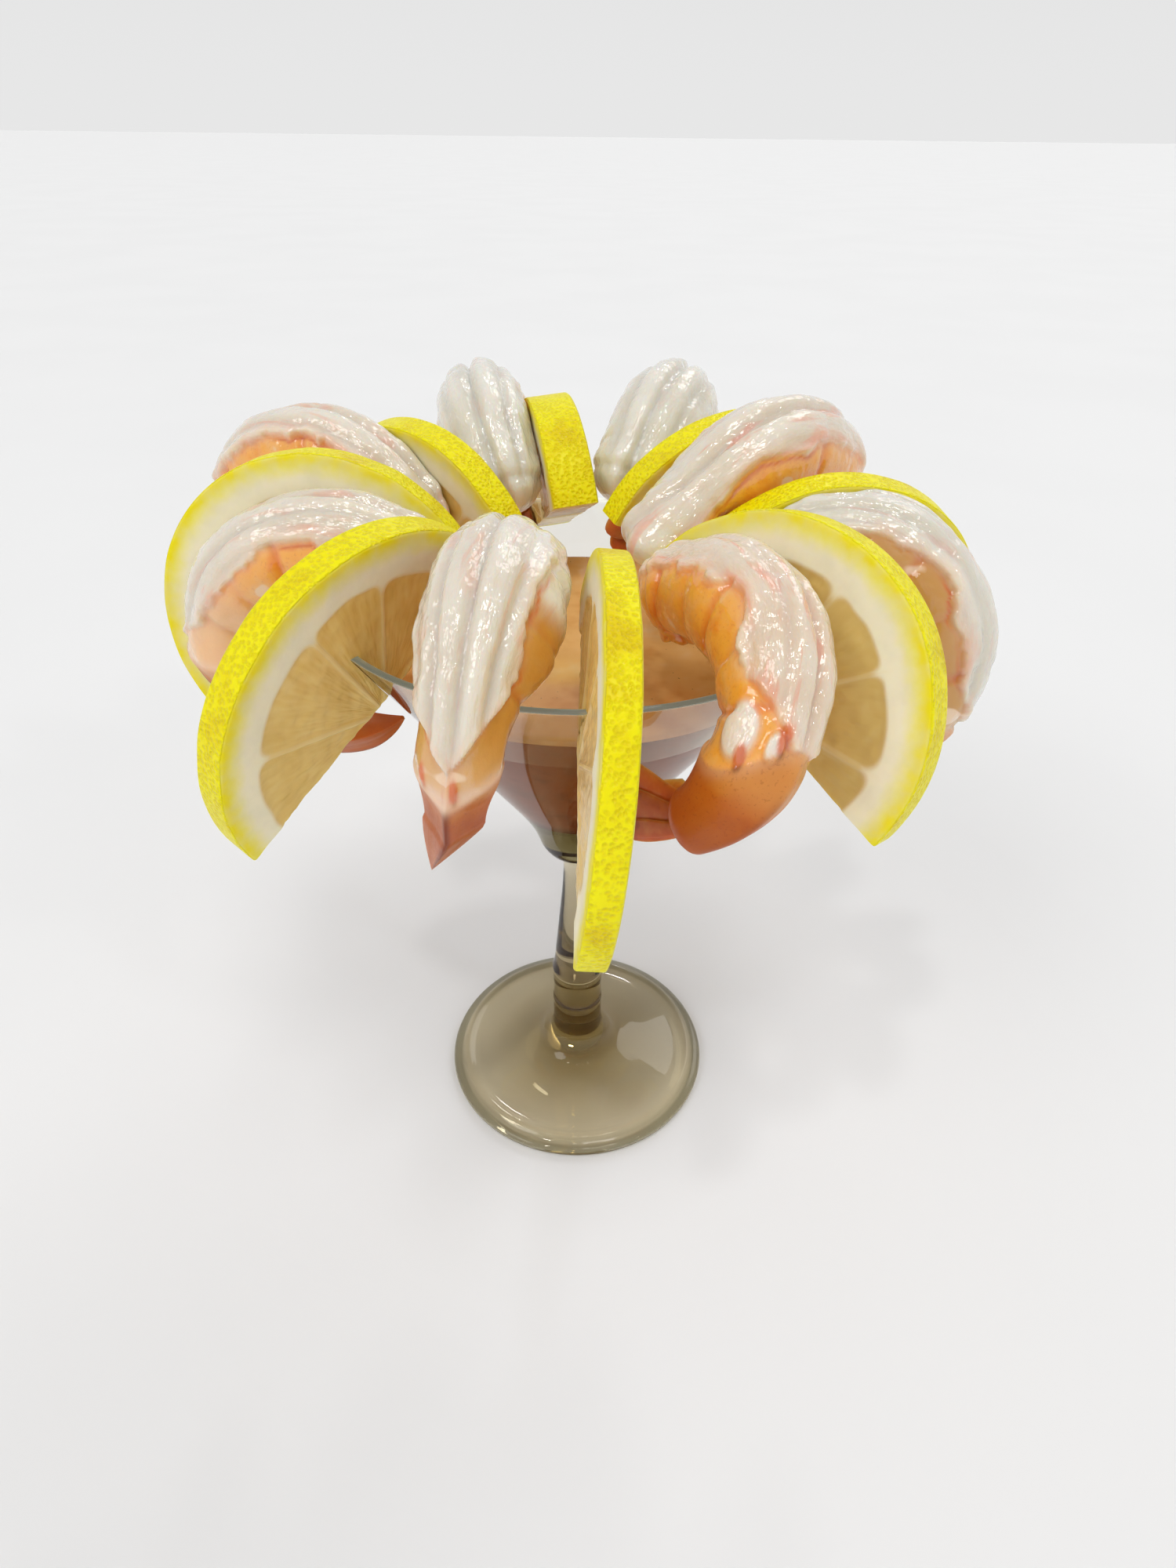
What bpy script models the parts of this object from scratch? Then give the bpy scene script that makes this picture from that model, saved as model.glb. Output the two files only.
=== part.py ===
"""A prawn cocktail: a stemmed glass holding sauce, ringed by lemon half-slices and peeled prawns on its rim.

Metres, +Z up, origin at the centre of the foot's underside, front at -Y. Each lemon slice is slit
from the middle of its cut edge and pushed down over the rim, and each prawn hooks over the rim
with its head end inside and its tail curling in under the bowl.
"""

import math

import bmesh
import bpy
from mathutils import Matrix, Vector

# Glass
FOOT_RADIUS = 0.0315
FOOT_EDGE = 0.0018
FOOT_RING_RADIUS = 0.0278
STEM_FOOT_HEIGHT = 0.013
STEM_LOWER_RADIUS = 0.0058
STEM_BEADS = (0.0205, 0.0305)
BEAD_PROUD = 0.0005
BEAD_HALF_HEIGHT = 0.0008
STEM_TAPER_INSET = 0.0020
STEM_WAIST_RADIUS = 0.0031
STEM_TOP = 0.0655
BOWL_BASE_RADIUS = 0.0079
BOWL_BASE_TOP = 0.0690
CONE_START_RADIUS = 0.0130
CONE_START_HEIGHT = 0.0800
RIM_RADIUS = 0.0469
GLASS_HEIGHT = 0.1280
WALL = 0.0015
INSIDE_FLOOR = 0.0800
INSIDE_CORNER = INSIDE_FLOOR + 0.0035
CORNER_STEPS = 4
CORNER_FULLNESS = 0.9
GLASS_STEPS = 36
# (radius, height) down the bowl's base, then up from the top of the foot to the lower stem.
BOWL_BASE = ((0.0098, 0.0745), (BOWL_BASE_RADIUS, BOWL_BASE_TOP), (0.0066, 0.0672), (0.0042, 0.0664))
FOOT_RISE = ((0.0068, 0.0095), (0.0088, 0.0065), (0.0130, 0.0046))
FOOT_RING_WIDTH = 0.0008

# Sauce
SAUCE_LEVEL = 0.1165
SAUCE_DOME = 0.0006

GAP = 0.0003
SLANT_GAP = GAP * 1.3
RIM_CUTTER_DEPTH = 0.045
SLICE_SEGMENTS = 56
SLICE_BEVEL = 0.0005
PRAWN_STATIONS = 17
TAIL_STATIONS = 4
PRAWN_SIDES = 12

# bearing: round the rim, from +X; dip: how far the cut edge slopes down outwards; twist: about the
# vertical; lean: of the face about its own cut edge; slit: how far the rim goes up into the cut
# edge; slide: of the slice outwards along that edge; past: how far the cut is past the middle.
SLICES = (
    dict(bearing=-85.5, dip=28, twist=-4.5, lean=-6.5, radius=0.0307, thickness=0.0046, slit=0.0087,
         slide=0.0038, past=0.0003),
    dict(bearing=-43, dip=25, twist=-6, lean=-16, radius=0.0290, thickness=0.0058, slit=0.0088,
         slide=-0.0010, past=0.0006),
    dict(bearing=1, dip=30, twist=12, lean=9, radius=0.0292, thickness=0.0058, slit=0.0092,
         slide=0.0030, past=0.0),
    dict(bearing=45, dip=24, twist=-16, lean=11, radius=0.0298, thickness=0.0062, slit=0.0080,
         slide=0.0000, past=0.0),
    dict(bearing=96, dip=24, twist=3, lean=-6, radius=0.0255, thickness=0.0091, slit=0.0040,
         slide=0.0030, past=0.0),
    dict(bearing=138, dip=29, twist=-2, lean=-9, radius=0.0293, thickness=0.0062, slit=0.0096,
         slide=0.0010, past=0.0),
    dict(bearing=180, dip=34, twist=0, lean=7, radius=0.0297, thickness=0.0060, slit=0.0068,
         slide=0.0040, past=0.0),
    dict(bearing=218.9, dip=33.7, twist=6.7, lean=-11.9, radius=0.0317, thickness=0.0058, slit=0.0143,
         slide=0.0024, past=-0.0023),
)

# reach and rise: of the head end, inwards and upwards from the rim; start: the angle at which the
# back leaves it; curl: degrees turned for each millimetre; tighten: how much more it turns at the
# tail than at the head; length: from the head end to the tail fan; girth: the scale of its sections;
# fan and spread: the tail fan's length and half its width; flick: degrees the fan turns a millimetre;
# sway: how far its tip stands to one side.
PRAWNS = (
    dict(bearing=-63, twist=-3, lean=-35, reach=0.0236, rise=0.0050, start=40, curl=2.9, tighten=1.0,
         length=0.058, girth=1.00, fan=0.019, spread=0.0085, flick=2.0, sway=0.0),
    dict(bearing=-14, twist=-5, lean=-15, reach=0.0130, rise=0.0050, start=42, curl=3.4, tighten=0.5,
         length=0.061, girth=1.05, fan=0.014, spread=0.0070, flick=2.0, sway=0.0),
    dict(bearing=32, twist=5, lean=20, reach=0.0280, rise=0.0063, start=73, curl=3.1, tighten=0.1,
         length=0.067, girth=1.10, fan=0.014, spread=0.0075, flick=0.0, sway=0.0),
    dict(bearing=75, twist=-1, lean=13, reach=0.0105, rise=0.0037, start=62, curl=3.1, tighten=1.0,
         length=0.070, girth=1.15, fan=0.014, spread=0.0080, flick=2.0, sway=0.0),
    dict(bearing=109, twist=-11, lean=-18, reach=0.0110, rise=0.0026, start=62, curl=2.9, tighten=1.1,
         length=0.069, girth=1.10, fan=0.014, spread=0.0075, flick=2.0, sway=0.0),
    dict(bearing=152, twist=6, lean=1, reach=0.0115, rise=0.0018, start=50, curl=2.6, tighten=1.3,
         length=0.066, girth=1.00, fan=0.015, spread=0.0075, flick=2.0, sway=0.0),
    dict(bearing=192, twist=-15, lean=-1, reach=0.0203, rise=0.0050, start=32, curl=2.8, tighten=1.1,
         length=0.060, girth=1.00, fan=0.026, spread=0.0024, flick=2.6, sway=0.0),
    dict(bearing=-108, twist=11, lean=-6, reach=0.0298, rise=0.0021, start=63, curl=2.7, tighten=-0.1,
         length=0.062, girth=0.90, fan=0.014, spread=0.0014, flick=0.0, sway=-0.0038),
)

# Along the body from head end to tail joint: place, and half its depth from back to belly.
BODY_DEPTH = ((0.0, 0.0050), (0.07, 0.0080), (0.3, 0.0090), (0.55, 0.0083), (0.8, 0.0064), (1.0, 0.0046))
BODY_BREADTH = 0.92
GROOVE_DEPTH = 0.14
FAN_THICKNESS = 0.0012
FAN_FLATTENS = 2.2


def fresh_scene():
    for obj in list(bpy.data.objects):
        bpy.data.objects.remove(obj, do_unlink=True)


def collection(name):
    made = bpy.data.collections.new(name)
    bpy.context.scene.collection.children.link(made)
    return made


def material(name, colour, roughness, transmission=0.0):
    made = bpy.data.materials.new(name)
    made.use_nodes = True
    shader = made.node_tree.nodes["Principled BSDF"]
    shader.inputs["Base Color"].default_value = (*colour, 1.0)
    shader.inputs["Roughness"].default_value = roughness
    shader.inputs["Metallic"].default_value = 0.0
    shader.inputs["Transmission Weight"].default_value = transmission
    return made


def object_from(name, bm, where, surface=None):
    mesh = bpy.data.meshes.new(name)
    bmesh.ops.recalc_face_normals(bm, faces=bm.faces)
    bm.to_mesh(mesh)
    bm.free()
    made = bpy.data.objects.new(name, mesh)
    where.objects.link(made)
    if surface:
        mesh.materials.append(surface)
    return made


def make_cutter(obj):
    obj.hide_render = True
    obj.display_type = "WIRE"
    return obj


def blend(rows, place):
    """The value at a place along rows of (place, value), eased between them."""
    for (start, low), (end, high) in zip(rows, rows[1:]):
        if place <= end:
            share = (place - start) / (end - start)
            share = share * share * (3 - 2 * share)
            return low + (high - low) * share
    return rows[-1][1]


def turned(name, profile, where, surface=None):
    """A solid of revolution about Z: the profile runs from the axis to the axis, down its outer side."""
    mesh = bpy.data.meshes.new(name)
    points = [(radius, 0.0, height) for radius, height in profile]
    mesh.from_pydata(points, [(i, i + 1) for i in range(len(points) - 1)], [])
    made = bpy.data.objects.new(name, mesh)
    where.objects.link(made)
    screw = made.modifiers.new("turn", "SCREW")
    screw.steps = screw.render_steps = GLASS_STEPS
    screw.use_merge_vertices = True
    screw.merge_threshold = 0.00001
    screw.use_smooth_shade = True
    if surface:
        mesh.materials.append(surface)
    return made


def outer_radius(height):
    """The bowl's outside, straight from the start of its cone to the rim."""
    slope = (RIM_RADIUS - CONE_START_RADIUS) / (GLASS_HEIGHT - CONE_START_HEIGHT)
    return CONE_START_RADIUS + slope * (height - CONE_START_HEIGHT)


def inner_radius(height):
    slope = (RIM_RADIUS - CONE_START_RADIUS) / (GLASS_HEIGHT - CONE_START_HEIGHT)
    return outer_radius(height) - WALL * math.hypot(1.0, slope)


def inside_corner(inset, floor):
    """The rounded floor of the bowl, from its middle out to the start of the cone."""
    edge = inner_radius(INSIDE_CORNER) - inset
    points = []
    for step in range(CORNER_STEPS + 1):
        angle = step / CORNER_STEPS * math.pi / 2
        points.append((edge * math.sin(angle) ** CORNER_FULLNESS,
                       floor + (INSIDE_CORNER - INSIDE_FLOOR) * (1 - math.cos(angle))))
    return points


def glass_profile():
    inside = inside_corner(0.0, INSIDE_FLOOR)
    lip = GLASS_HEIGHT - WALL / 2
    inside.append((inner_radius(lip), lip))
    middle = (inner_radius(lip) + outer_radius(lip)) / 2
    rim = [(middle - WALL * 0.3, GLASS_HEIGHT - WALL * 0.12), (middle, GLASS_HEIGHT),
           (middle + WALL * 0.35, GLASS_HEIGHT - WALL * 0.12)]
    bowl = [(outer_radius(lip), lip), (CONE_START_RADIUS, CONE_START_HEIGHT), *BOWL_BASE,
            (STEM_WAIST_RADIUS, STEM_TOP - STEM_TAPER_INSET)]
    stem = []
    high, low = STEM_TOP - 3 * STEM_TAPER_INSET, STEM_BEADS[1] + STEM_TAPER_INSET
    for step in range(CORNER_STEPS + 1):
        share = step / CORNER_STEPS
        radius = blend(((0.0, STEM_WAIST_RADIUS), (1.0, STEM_LOWER_RADIUS - BEAD_PROUD)), share)
        stem.append((radius, high + (low - high) * share))
    for bead in reversed(STEM_BEADS):
        stem += [(STEM_LOWER_RADIUS, bead + BEAD_HALF_HEIGHT), (STEM_LOWER_RADIUS + BEAD_PROUD, bead),
                 (STEM_LOWER_RADIUS, bead - BEAD_HALF_HEIGHT)]
    foot = [(STEM_LOWER_RADIUS, STEM_FOOT_HEIGHT), *FOOT_RISE,
            (FOOT_RING_RADIUS, FOOT_EDGE + FOOT_RING_WIDTH), (FOOT_RING_RADIUS + FOOT_RING_WIDTH, FOOT_EDGE),
            (FOOT_RADIUS - FOOT_RING_WIDTH, FOOT_EDGE), (FOOT_RADIUS, FOOT_EDGE / 2),
            (FOOT_RADIUS - FOOT_EDGE / 4, 0.0), (0.0, 0.0)]
    return inside + rim + bowl + stem + foot


def sauce_profile():
    edge = inner_radius(SAUCE_LEVEL) - SLANT_GAP
    surface = [(0.0, SAUCE_LEVEL + SAUCE_DOME), (edge * 0.6, SAUCE_LEVEL + SAUCE_DOME * 0.7),
               (edge, SAUCE_LEVEL)]
    return surface + inside_corner(SLANT_GAP, INSIDE_FLOOR + GAP)[::-1]


def rim_cutter(where):
    """The wall near the rim with the gap added all round it, for what sits over the rim."""
    low, top = GLASS_HEIGHT - RIM_CUTTER_DEPTH, GLASS_HEIGHT + GAP
    profile = [(inner_radius(low) - SLANT_GAP, low), (inner_radius(top) - SLANT_GAP, top),
               (outer_radius(top) + SLANT_GAP, top), (outer_radius(low) + SLANT_GAP, low)]
    bm = bmesh.new()
    steps = GLASS_STEPS * 3
    rings = []
    for step in range(steps):
        angle = 2 * math.pi * step / steps
        rings.append([bm.verts.new((r * math.cos(angle), r * math.sin(angle), z)) for r, z in profile])
    for ring, after in zip(rings, rings[1:] + rings[:1]):
        for side in range(len(profile)):
            other = (side + 1) % len(profile)
            bm.faces.new((ring[side], ring[other], after[other], after[side]))
    return make_cutter(object_from("rim_cutter", bm, where))


def rim_frame(bearing, twist, lean, dip=0.0):
    """A matrix at the rim: X outwards and down by dip, Z up, Y along the rim."""
    turn = Matrix.Rotation(math.radians(bearing), 4, "Z")
    rim = Matrix.Translation((RIM_RADIUS - WALL / 2, 0.0, GLASS_HEIGHT))
    return (turn @ rim @ Matrix.Rotation(math.radians(twist), 4, "Z")
            @ Matrix.Rotation(math.radians(dip), 4, "Y") @ Matrix.Rotation(math.radians(lean), 4, "X"))


def half_disc(radius, thickness, past, where, name, surface=None):
    """Half of a flat disc: its cut edge lies along X, its round edge at +Z, its thickness along Y."""
    bm = bmesh.new()
    bmesh.ops.create_cone(bm, cap_ends=True, segments=SLICE_SEGMENTS, radius1=radius, radius2=radius,
                          depth=thickness, matrix=Matrix.Rotation(math.radians(90), 4, "X"))
    cut = bmesh.ops.bisect_plane(bm, geom=bm.verts[:] + bm.edges[:] + bm.faces[:], dist=1e-6,
                                 plane_co=(0, 0, -past), plane_no=(0, 0, 1), clear_inner=True)
    bmesh.ops.edgeloop_fill(bm, edges=[e for e in cut["geom_cut"] if isinstance(e, bmesh.types.BMEdge)])
    return object_from(name, bm, where, surface)


def slice_matrix(row):
    frame = rim_frame(row["bearing"], row["twist"], row["lean"], row["dip"])
    return frame @ Matrix.Translation((row["slide"], 0.0, -row["slit"]))


def make_slice(number, row, where, cutters, rim, surface):
    made = half_disc(row["radius"], row["thickness"], row["past"], where, f"lemon_slice_{number}", surface)
    made.matrix_world = slice_matrix(row)
    bevel = made.modifiers.new("soft_edge", "BEVEL")
    bevel.width = SLICE_BEVEL
    bevel.segments = 1
    bevel.limit_method = "ANGLE"
    bevel.angle_limit = math.radians(50)
    slit = made.modifiers.new("slit", "BOOLEAN")
    slit.object = rim
    spacer = half_disc(row["radius"] + GAP, row["thickness"] + 2 * GAP, row["past"] + GAP, cutters,
                       f"spacer_{number}")
    spacer.matrix_world = slice_matrix(row)
    return make_cutter(spacer)


def curl_points(row, count, length):
    """Points along the body's middle, in the plane of its curl: (outwards, up, direction)."""
    outwards, up, angle = -row["reach"], row["rise"], math.radians(row["start"])
    points = [(outwards, up, angle)]
    step = length / count
    for index in range(count):
        place = (index + 0.5) * step / row["length"]
        curl = row["curl"] + row["tighten"] * (2 * place - 1) if place < 1 else row["flick"]
        turn = math.radians(curl) * step * 1000
        outwards += step * math.cos(angle - turn / 2)
        up += step * math.sin(angle - turn / 2)
        angle -= turn
        points.append((outwards, up, angle))
    return points


def section(depth, breadth, groove):
    """A ring round the body: its back at +depth, grooved along its middle, and its belly at -depth."""
    ring = []
    for side in range(PRAWN_SIDES):
        angle = 2 * math.pi * side / PRAWN_SIDES
        back = depth * math.cos(angle)
        if side == 0:
            back *= 1 - groove
        ring.append((back, breadth * math.sin(angle)))
    return ring


def make_prawn(number, row, where, surface):
    """One closed loft: body from its head end to the tail joint, then the flat tail fan."""
    frame = rim_frame(row["bearing"], row["twist"], row["lean"])
    total = PRAWN_STATIONS + TAIL_STATIONS
    points = curl_points(row, total, row["length"] + row["fan"])
    rings = []
    for index, (outwards, up, angle) in enumerate(points):
        along = (row["length"] + row["fan"]) * index / total
        if along <= row["length"]:
            depth = blend(BODY_DEPTH, along / row["length"]) * row["girth"]
            breadth = depth * BODY_BREADTH
            groove = GROOVE_DEPTH
            sway = 0.0
        else:
            share = (along - row["length"]) / row["fan"]
            start = BODY_DEPTH[-1][1] * row["girth"]
            depth = start + (FAN_THICKNESS - start) * min(1.0, share * FAN_FLATTENS)
            side = start * BODY_BREADTH
            breadth = side + (row["spread"] - side) * math.sin(share * math.pi / 2)
            groove = 0.0
            sway = row["sway"] * share
        middle = Vector((outwards, sway, up))
        back = Vector((-math.sin(angle), 0.0, math.cos(angle)))
        side = Vector((0.0, 1.0, 0.0))
        rings.append([frame @ (middle + back * a + side * b) for a, b in section(depth, breadth, groove)])
    bm = bmesh.new()
    loops = [[bm.verts.new(point) for point in ring] for ring in rings]
    for ring, after in zip(loops, loops[1:]):
        for side in range(PRAWN_SIDES):
            other = (side + 1) % PRAWN_SIDES
            bm.faces.new((ring[side], ring[other], after[other], after[side]))
    bm.faces.new(list(reversed(loops[0])))
    bm.faces.new(loops[-1])
    made = object_from(f"prawn_{number}", bm, where, surface)
    made.data.shade_smooth()
    return made


def trim(obj, cutter):
    cut = obj.modifiers.new(cutter.name, "BOOLEAN")
    cut.object = cutter


def main():
    fresh_scene()
    parts = collection("prawn_cocktail")
    cutters = collection("cutters")
    clear = material("clear_glass", (0.86, 0.90, 0.88), 0.03, 1.0)
    red_brown = material("cocktail_sauce", (0.28, 0.08, 0.045), 0.30)
    lemon = material("lemon", (0.85, 0.74, 0.12), 0.42)
    pink = material("cooked_prawn", (0.86, 0.60, 0.47), 0.32)
    turned("glass", glass_profile(), parts, clear)
    turned("cocktail_sauce", sauce_profile(), parts, red_brown)
    rim = rim_cutter(cutters)
    spacers = [make_slice(i + 1, row, parts, cutters, rim, lemon) for i, row in enumerate(SLICES)]
    for index, row in enumerate(PRAWNS):
        prawn = make_prawn(index + 1, row, parts, pink)
        trim(prawn, rim)
        trim(prawn, spacers[index])
        trim(prawn, spacers[(index + 1) % len(spacers)])


main()
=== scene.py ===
"""Looks for a prawn cocktail: a clear stemmed glass of sauce, ringed by lemon half-slices and peeled prawns.

Metres, +Z up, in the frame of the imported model. Each piece takes the place of its plain solid there.
"""

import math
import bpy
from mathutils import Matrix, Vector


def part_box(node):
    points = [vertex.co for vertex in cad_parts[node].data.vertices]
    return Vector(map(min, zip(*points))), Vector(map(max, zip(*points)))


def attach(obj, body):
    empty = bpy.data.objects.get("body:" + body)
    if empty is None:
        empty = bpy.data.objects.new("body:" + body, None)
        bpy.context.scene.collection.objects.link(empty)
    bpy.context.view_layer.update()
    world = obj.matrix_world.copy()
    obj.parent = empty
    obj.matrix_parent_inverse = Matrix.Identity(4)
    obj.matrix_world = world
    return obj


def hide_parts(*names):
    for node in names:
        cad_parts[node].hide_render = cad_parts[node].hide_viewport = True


bl_info = {
    "name": "Prawn Cocktail Looks",
    "version": (1, 0, 0),
    "blender": (4, 5, 0),
    "location": "3D View > Sidebar > Cocktail",
    "description": "Builds the finished surfaces of a prawn cocktail around its plain solids",
    "category": "Add Mesh",
}

import bmesh
import bpy
import numpy as np
from mathutils import Matrix, Vector

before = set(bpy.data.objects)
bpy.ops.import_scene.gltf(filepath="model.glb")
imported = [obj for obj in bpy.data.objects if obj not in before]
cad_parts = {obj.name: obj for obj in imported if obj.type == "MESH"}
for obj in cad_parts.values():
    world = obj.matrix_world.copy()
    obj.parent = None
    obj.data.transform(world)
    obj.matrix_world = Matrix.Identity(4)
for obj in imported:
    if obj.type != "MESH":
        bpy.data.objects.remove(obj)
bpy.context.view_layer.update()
GLASS_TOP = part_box("glass")[1].z
SAUCE_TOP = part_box("cocktail_sauce")[1].z

MM = 0.001
WALL = 1.5 * MM
RIM_RADIUS = 46.9 * MM
CONE_START = (13.0 * MM, 80.0 * MM)
CONTACT = 0.3 * MM

# The lemon slices, as placed on the rim. bearing: round the rim from +X; dip: how far the cut edge
# slopes down outwards; twist: about the vertical; lean: of the face about its own cut edge; slit:
# how far the rim goes up into the cut edge; slide: outwards along that edge; past: how far the cut
# is past the middle; turn: where the first wall between its wedges of flesh lies, in degrees.
SLICES = (
    dict(bearing=-85.5, dip=28, twist=-4.5, lean=-6.5, radius=30.7, thickness=4.6, slit=8.7, slide=3.8,
         past=0.3, turn=14, ripeness_and_shade=0.1),
    dict(bearing=-43, dip=25, twist=-6, lean=-16, radius=29.0, thickness=5.8, slit=8.8, slide=-1.0,
         past=0.6, turn=15, ripeness_and_shade=0.8),
    dict(bearing=1, dip=30, twist=12, lean=9, radius=29.2, thickness=5.8, slit=9.2, slide=3.0,
         past=0.0, turn=8, ripeness_and_shade=0.4),
    dict(bearing=45, dip=24, twist=-16, lean=11, radius=29.8, thickness=6.2, slit=8.0, slide=0.0,
         past=0.0, turn=25, ripeness_and_shade=0.3),
    dict(bearing=96, dip=24, twist=3, lean=-6, radius=25.5, thickness=9.1, slit=4.0, slide=3.0,
         past=0.0, turn=17, ripeness_and_shade=0.5),
    dict(bearing=138, dip=29, twist=-2, lean=-9, radius=29.3, thickness=6.2, slit=9.6, slide=1.0,
         past=0.0, turn=4, ripeness_and_shade=0.2),
    dict(bearing=180, dip=34, twist=0, lean=7, radius=29.7, thickness=6.0, slit=6.8, slide=4.0,
         past=0.0, turn=30, ripeness_and_shade=0.6),
    dict(bearing=218.9, dip=33.7, twist=6.7, lean=-11.9, radius=31.7, thickness=5.8, slit=14.3, slide=2.4,
         past=-2.3, turn=3, ripeness_and_shade=0.1),
)

# The prawns, as hooked over the rim, in millimetres and degrees. reach and rise: of the head end,
# inwards and upwards from the rim; start: the angle at which the back leaves it; curl: degrees
# turned for each millimetre; tighten: how much more it turns at the tail; length: to the tail fan;
# girth: the scale of its sections; fan, spread, flick and sway: the tail fan's length, half-width,
# turn for each millimetre and lean to one side; fold: how steeply the fan's sides fall away; blunt:
# how late a closed tail narrows; cap: how far round the body the pale back reaches on the -Y and +Y
# sides; vee: the share of the length over which it closes at the tail; shell: where along the body
# the last piece of shell starts; slant: how much sooner it starts on the back; swell: how much wider
# the body gets there; collar: how pale its edge is; fade: where along it the orange of the belly
# ends; tan: how brown the belly is; blush: how pink the back is; chill: how white the back is.
# pearls: smooth white lobes, each by its place along the body, angle round it and reach; ticks: dark
# orange marks just before the shell, each by its angle; lobes: swellings, each by its place, angle,
# reach along, reach round and height.
PRAWN = dict(fan=14, flick=2.0, sway=0.0, fold=0.3, blunt=1.15, vee=0.08, shell=0.80, slant=0.012,
             swell=0.0, collar=0.5, pearls=(), ticks=(), lobes=())
PRAWNS = (
    dict(PRAWN, bearing=-63, twist=-3, lean=-35, reach=23.6, rise=5.0, start=40, curl=2.9, tighten=1.0,
         length=58, girth=1.00, fan=19, spread=8.5, fold=1.0, cap=(74, 78), vee=0.12,
         shell=0.775, slant=0.055, swell=0.12, collar=0.25, fade=1.2, tan=0.0, blush=0.75, chill=0.0,
         pearls=((0.725, -74, 3.8), (0.735, -34, 1.7)), ticks=(-62, -28)),
    dict(PRAWN, bearing=-14, twist=-5, lean=-15, reach=13.0, rise=5.0, start=42, curl=3.4, tighten=0.5,
         length=61, girth=1.05, spread=7.0, cap=(60, 84), fade=0.9, tan=0.9, blush=0.3, chill=0.9),
    dict(PRAWN, bearing=32, twist=5, lean=20, reach=28.0, rise=6.3, start=73, curl=3.1, tighten=0.1,
         length=67, girth=1.10, spread=7.5, flick=0.0, cap=(45, 84), fade=0.95, tan=0.1, blush=0.6,
         chill=0.5, pearls=((0.50, -100, 1.4),), lobes=((0.0, -15, 5, 0.75, 11.0),)),
    dict(PRAWN, bearing=75, twist=-1, lean=13, reach=10.5, rise=3.7, start=62, curl=3.1, tighten=1.0,
         length=70, girth=1.15, spread=8.0, cap=(96, 96), fade=0.70, tan=0.3, blush=0.1, chill=0.9),
    dict(PRAWN, bearing=109, twist=-11, lean=-18, reach=11.0, rise=2.6, start=62, curl=2.9, tighten=1.1,
         length=69, girth=1.10, spread=7.5, cap=(82, 96), fade=0.70, tan=0.5, blush=0.15, chill=0.95),
    dict(PRAWN, bearing=152, twist=6, lean=1, reach=11.5, rise=1.8, start=50, curl=2.6, tighten=1.3,
         length=66, girth=1.00, fan=15, spread=7.5, cap=(84, 58), fade=0.85, tan=0.1, blush=0.4, chill=0.5),
    dict(PRAWN, bearing=192, twist=-15, lean=-1, reach=20.3, rise=5.0, start=32, curl=2.8, tighten=1.1,
         length=60, girth=1.00, fan=26, spread=2.4, flick=2.9, blunt=2.8, cap=(80, 70), swell=0.35,
         fade=0.53, tan=0.0, blush=0.4, chill=0.6),
    dict(PRAWN, bearing=-108, twist=11, lean=-6, reach=29.8, rise=2.1, start=63, curl=2.7, tighten=-0.1,
         length=62, girth=0.90, spread=1.4, flick=0.0, sway=-3.8, cap=(88, 68), vee=0.16,
         shell=0.86, slant=-0.028, swell=0.16, collar=1.0, fade=0.82, tan=0.75, blush=0.35, chill=0.6,
         pearls=((0.33, 88, 10.5),), ticks=(-40, 10),
         lobes=((0.52, 112, 12, 0.6, 5.0), (0.30, 86, 9, 0.45, 2.0))),
)
# A prawn whose fan spreads less than this ends in a closed tail.
CLOSED_TAIL = 3.0

# Turned outlines, in millimetres: how close to a corner a point is added, and how far apart the others.
CORNER_REACH = 0.15
OUTLINE_STEP = 2.5
FILLET_STEPS = 6
# How many random numbers the noise has before it repeats itself, along its first direction.
NOISE_ROWS = 67

# Furrows along the pale back, each by its angle off the middle, its depth and its half-width.
FURROWS = ((0.0, 1.9, 0.12), (0.66, 0.8, 0.10), (1.18, 0.4, 0.09))
# The body's depth in millimetres at places along it, and its breadth as a share of that.
BODY_DEPTH = ((0.0, 5.0), (0.07, 8.0), (0.3, 9.0), (0.55, 8.3), (0.8, 6.4), (1.0, 4.6))
BODY_BREADTH = 0.92
# Where along it the body starts, and where it ends inside an open fan.
NOSE = -0.03
OPEN_END = 1.03
BODY_STATIONS = 190
BODY_SIDES = 132
SEGMENT_JOINTS = (0.10, 0.25, 0.40, 0.54, 0.67)
# The leaves of an open fan, from the outermost pair in to the middle one on top: turn as a share of
# the fan's half angle, height over the body's end, length as a share of the fan, and width.
LEAVES = ((-0.85, -1.3, 0.92, 7.4), (0.85, -1.3, 0.92, 7.4), (-0.42, 0.0, 1.0, 7.2), (0.42, 0.0, 1.0, 7.2),
          (0.0, 1.3, 0.86, 5.6))
# Where along the body the leaves start, and how much of each is under the shell, in millimetres.
LEAF_ROOT = 0.94
LEAF_UNDER_SHELL = 3.5
LEAF_STATIONS = 26
LEAF_SIDES = 16
# What the prawns' material reads at each point. A piece that doesn't give one of them has 0 there.
MASKS = ("pale", "ridge", "shell", "crease", "along", "around", "under", "collar", "edge", "line", "fade",
         "tip", "fan")
# How far from a slice a prawn starts to be pressed away from it, in millimetres.
SOFT_START = 1.5
# Where the random numbers of the slices and of the prawns start.
SLICE_SEED = 40
PRAWN_SEED = 300
# What a prawn has inside the wall down to here is lifted over the rim, and the rest moved outwards.
RIM_LIFT = 5.0 * MM


# Shapes shared by the pieces

def ease(low, high, value):
    """0 below low and 1 above high, smooth between."""
    share = np.clip((value - low) / (high - low), 0.0, 1.0)
    return share * share * (3 - 2 * share)


def hump(value, width):
    return np.exp(-(value / width) ** 2)


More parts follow.
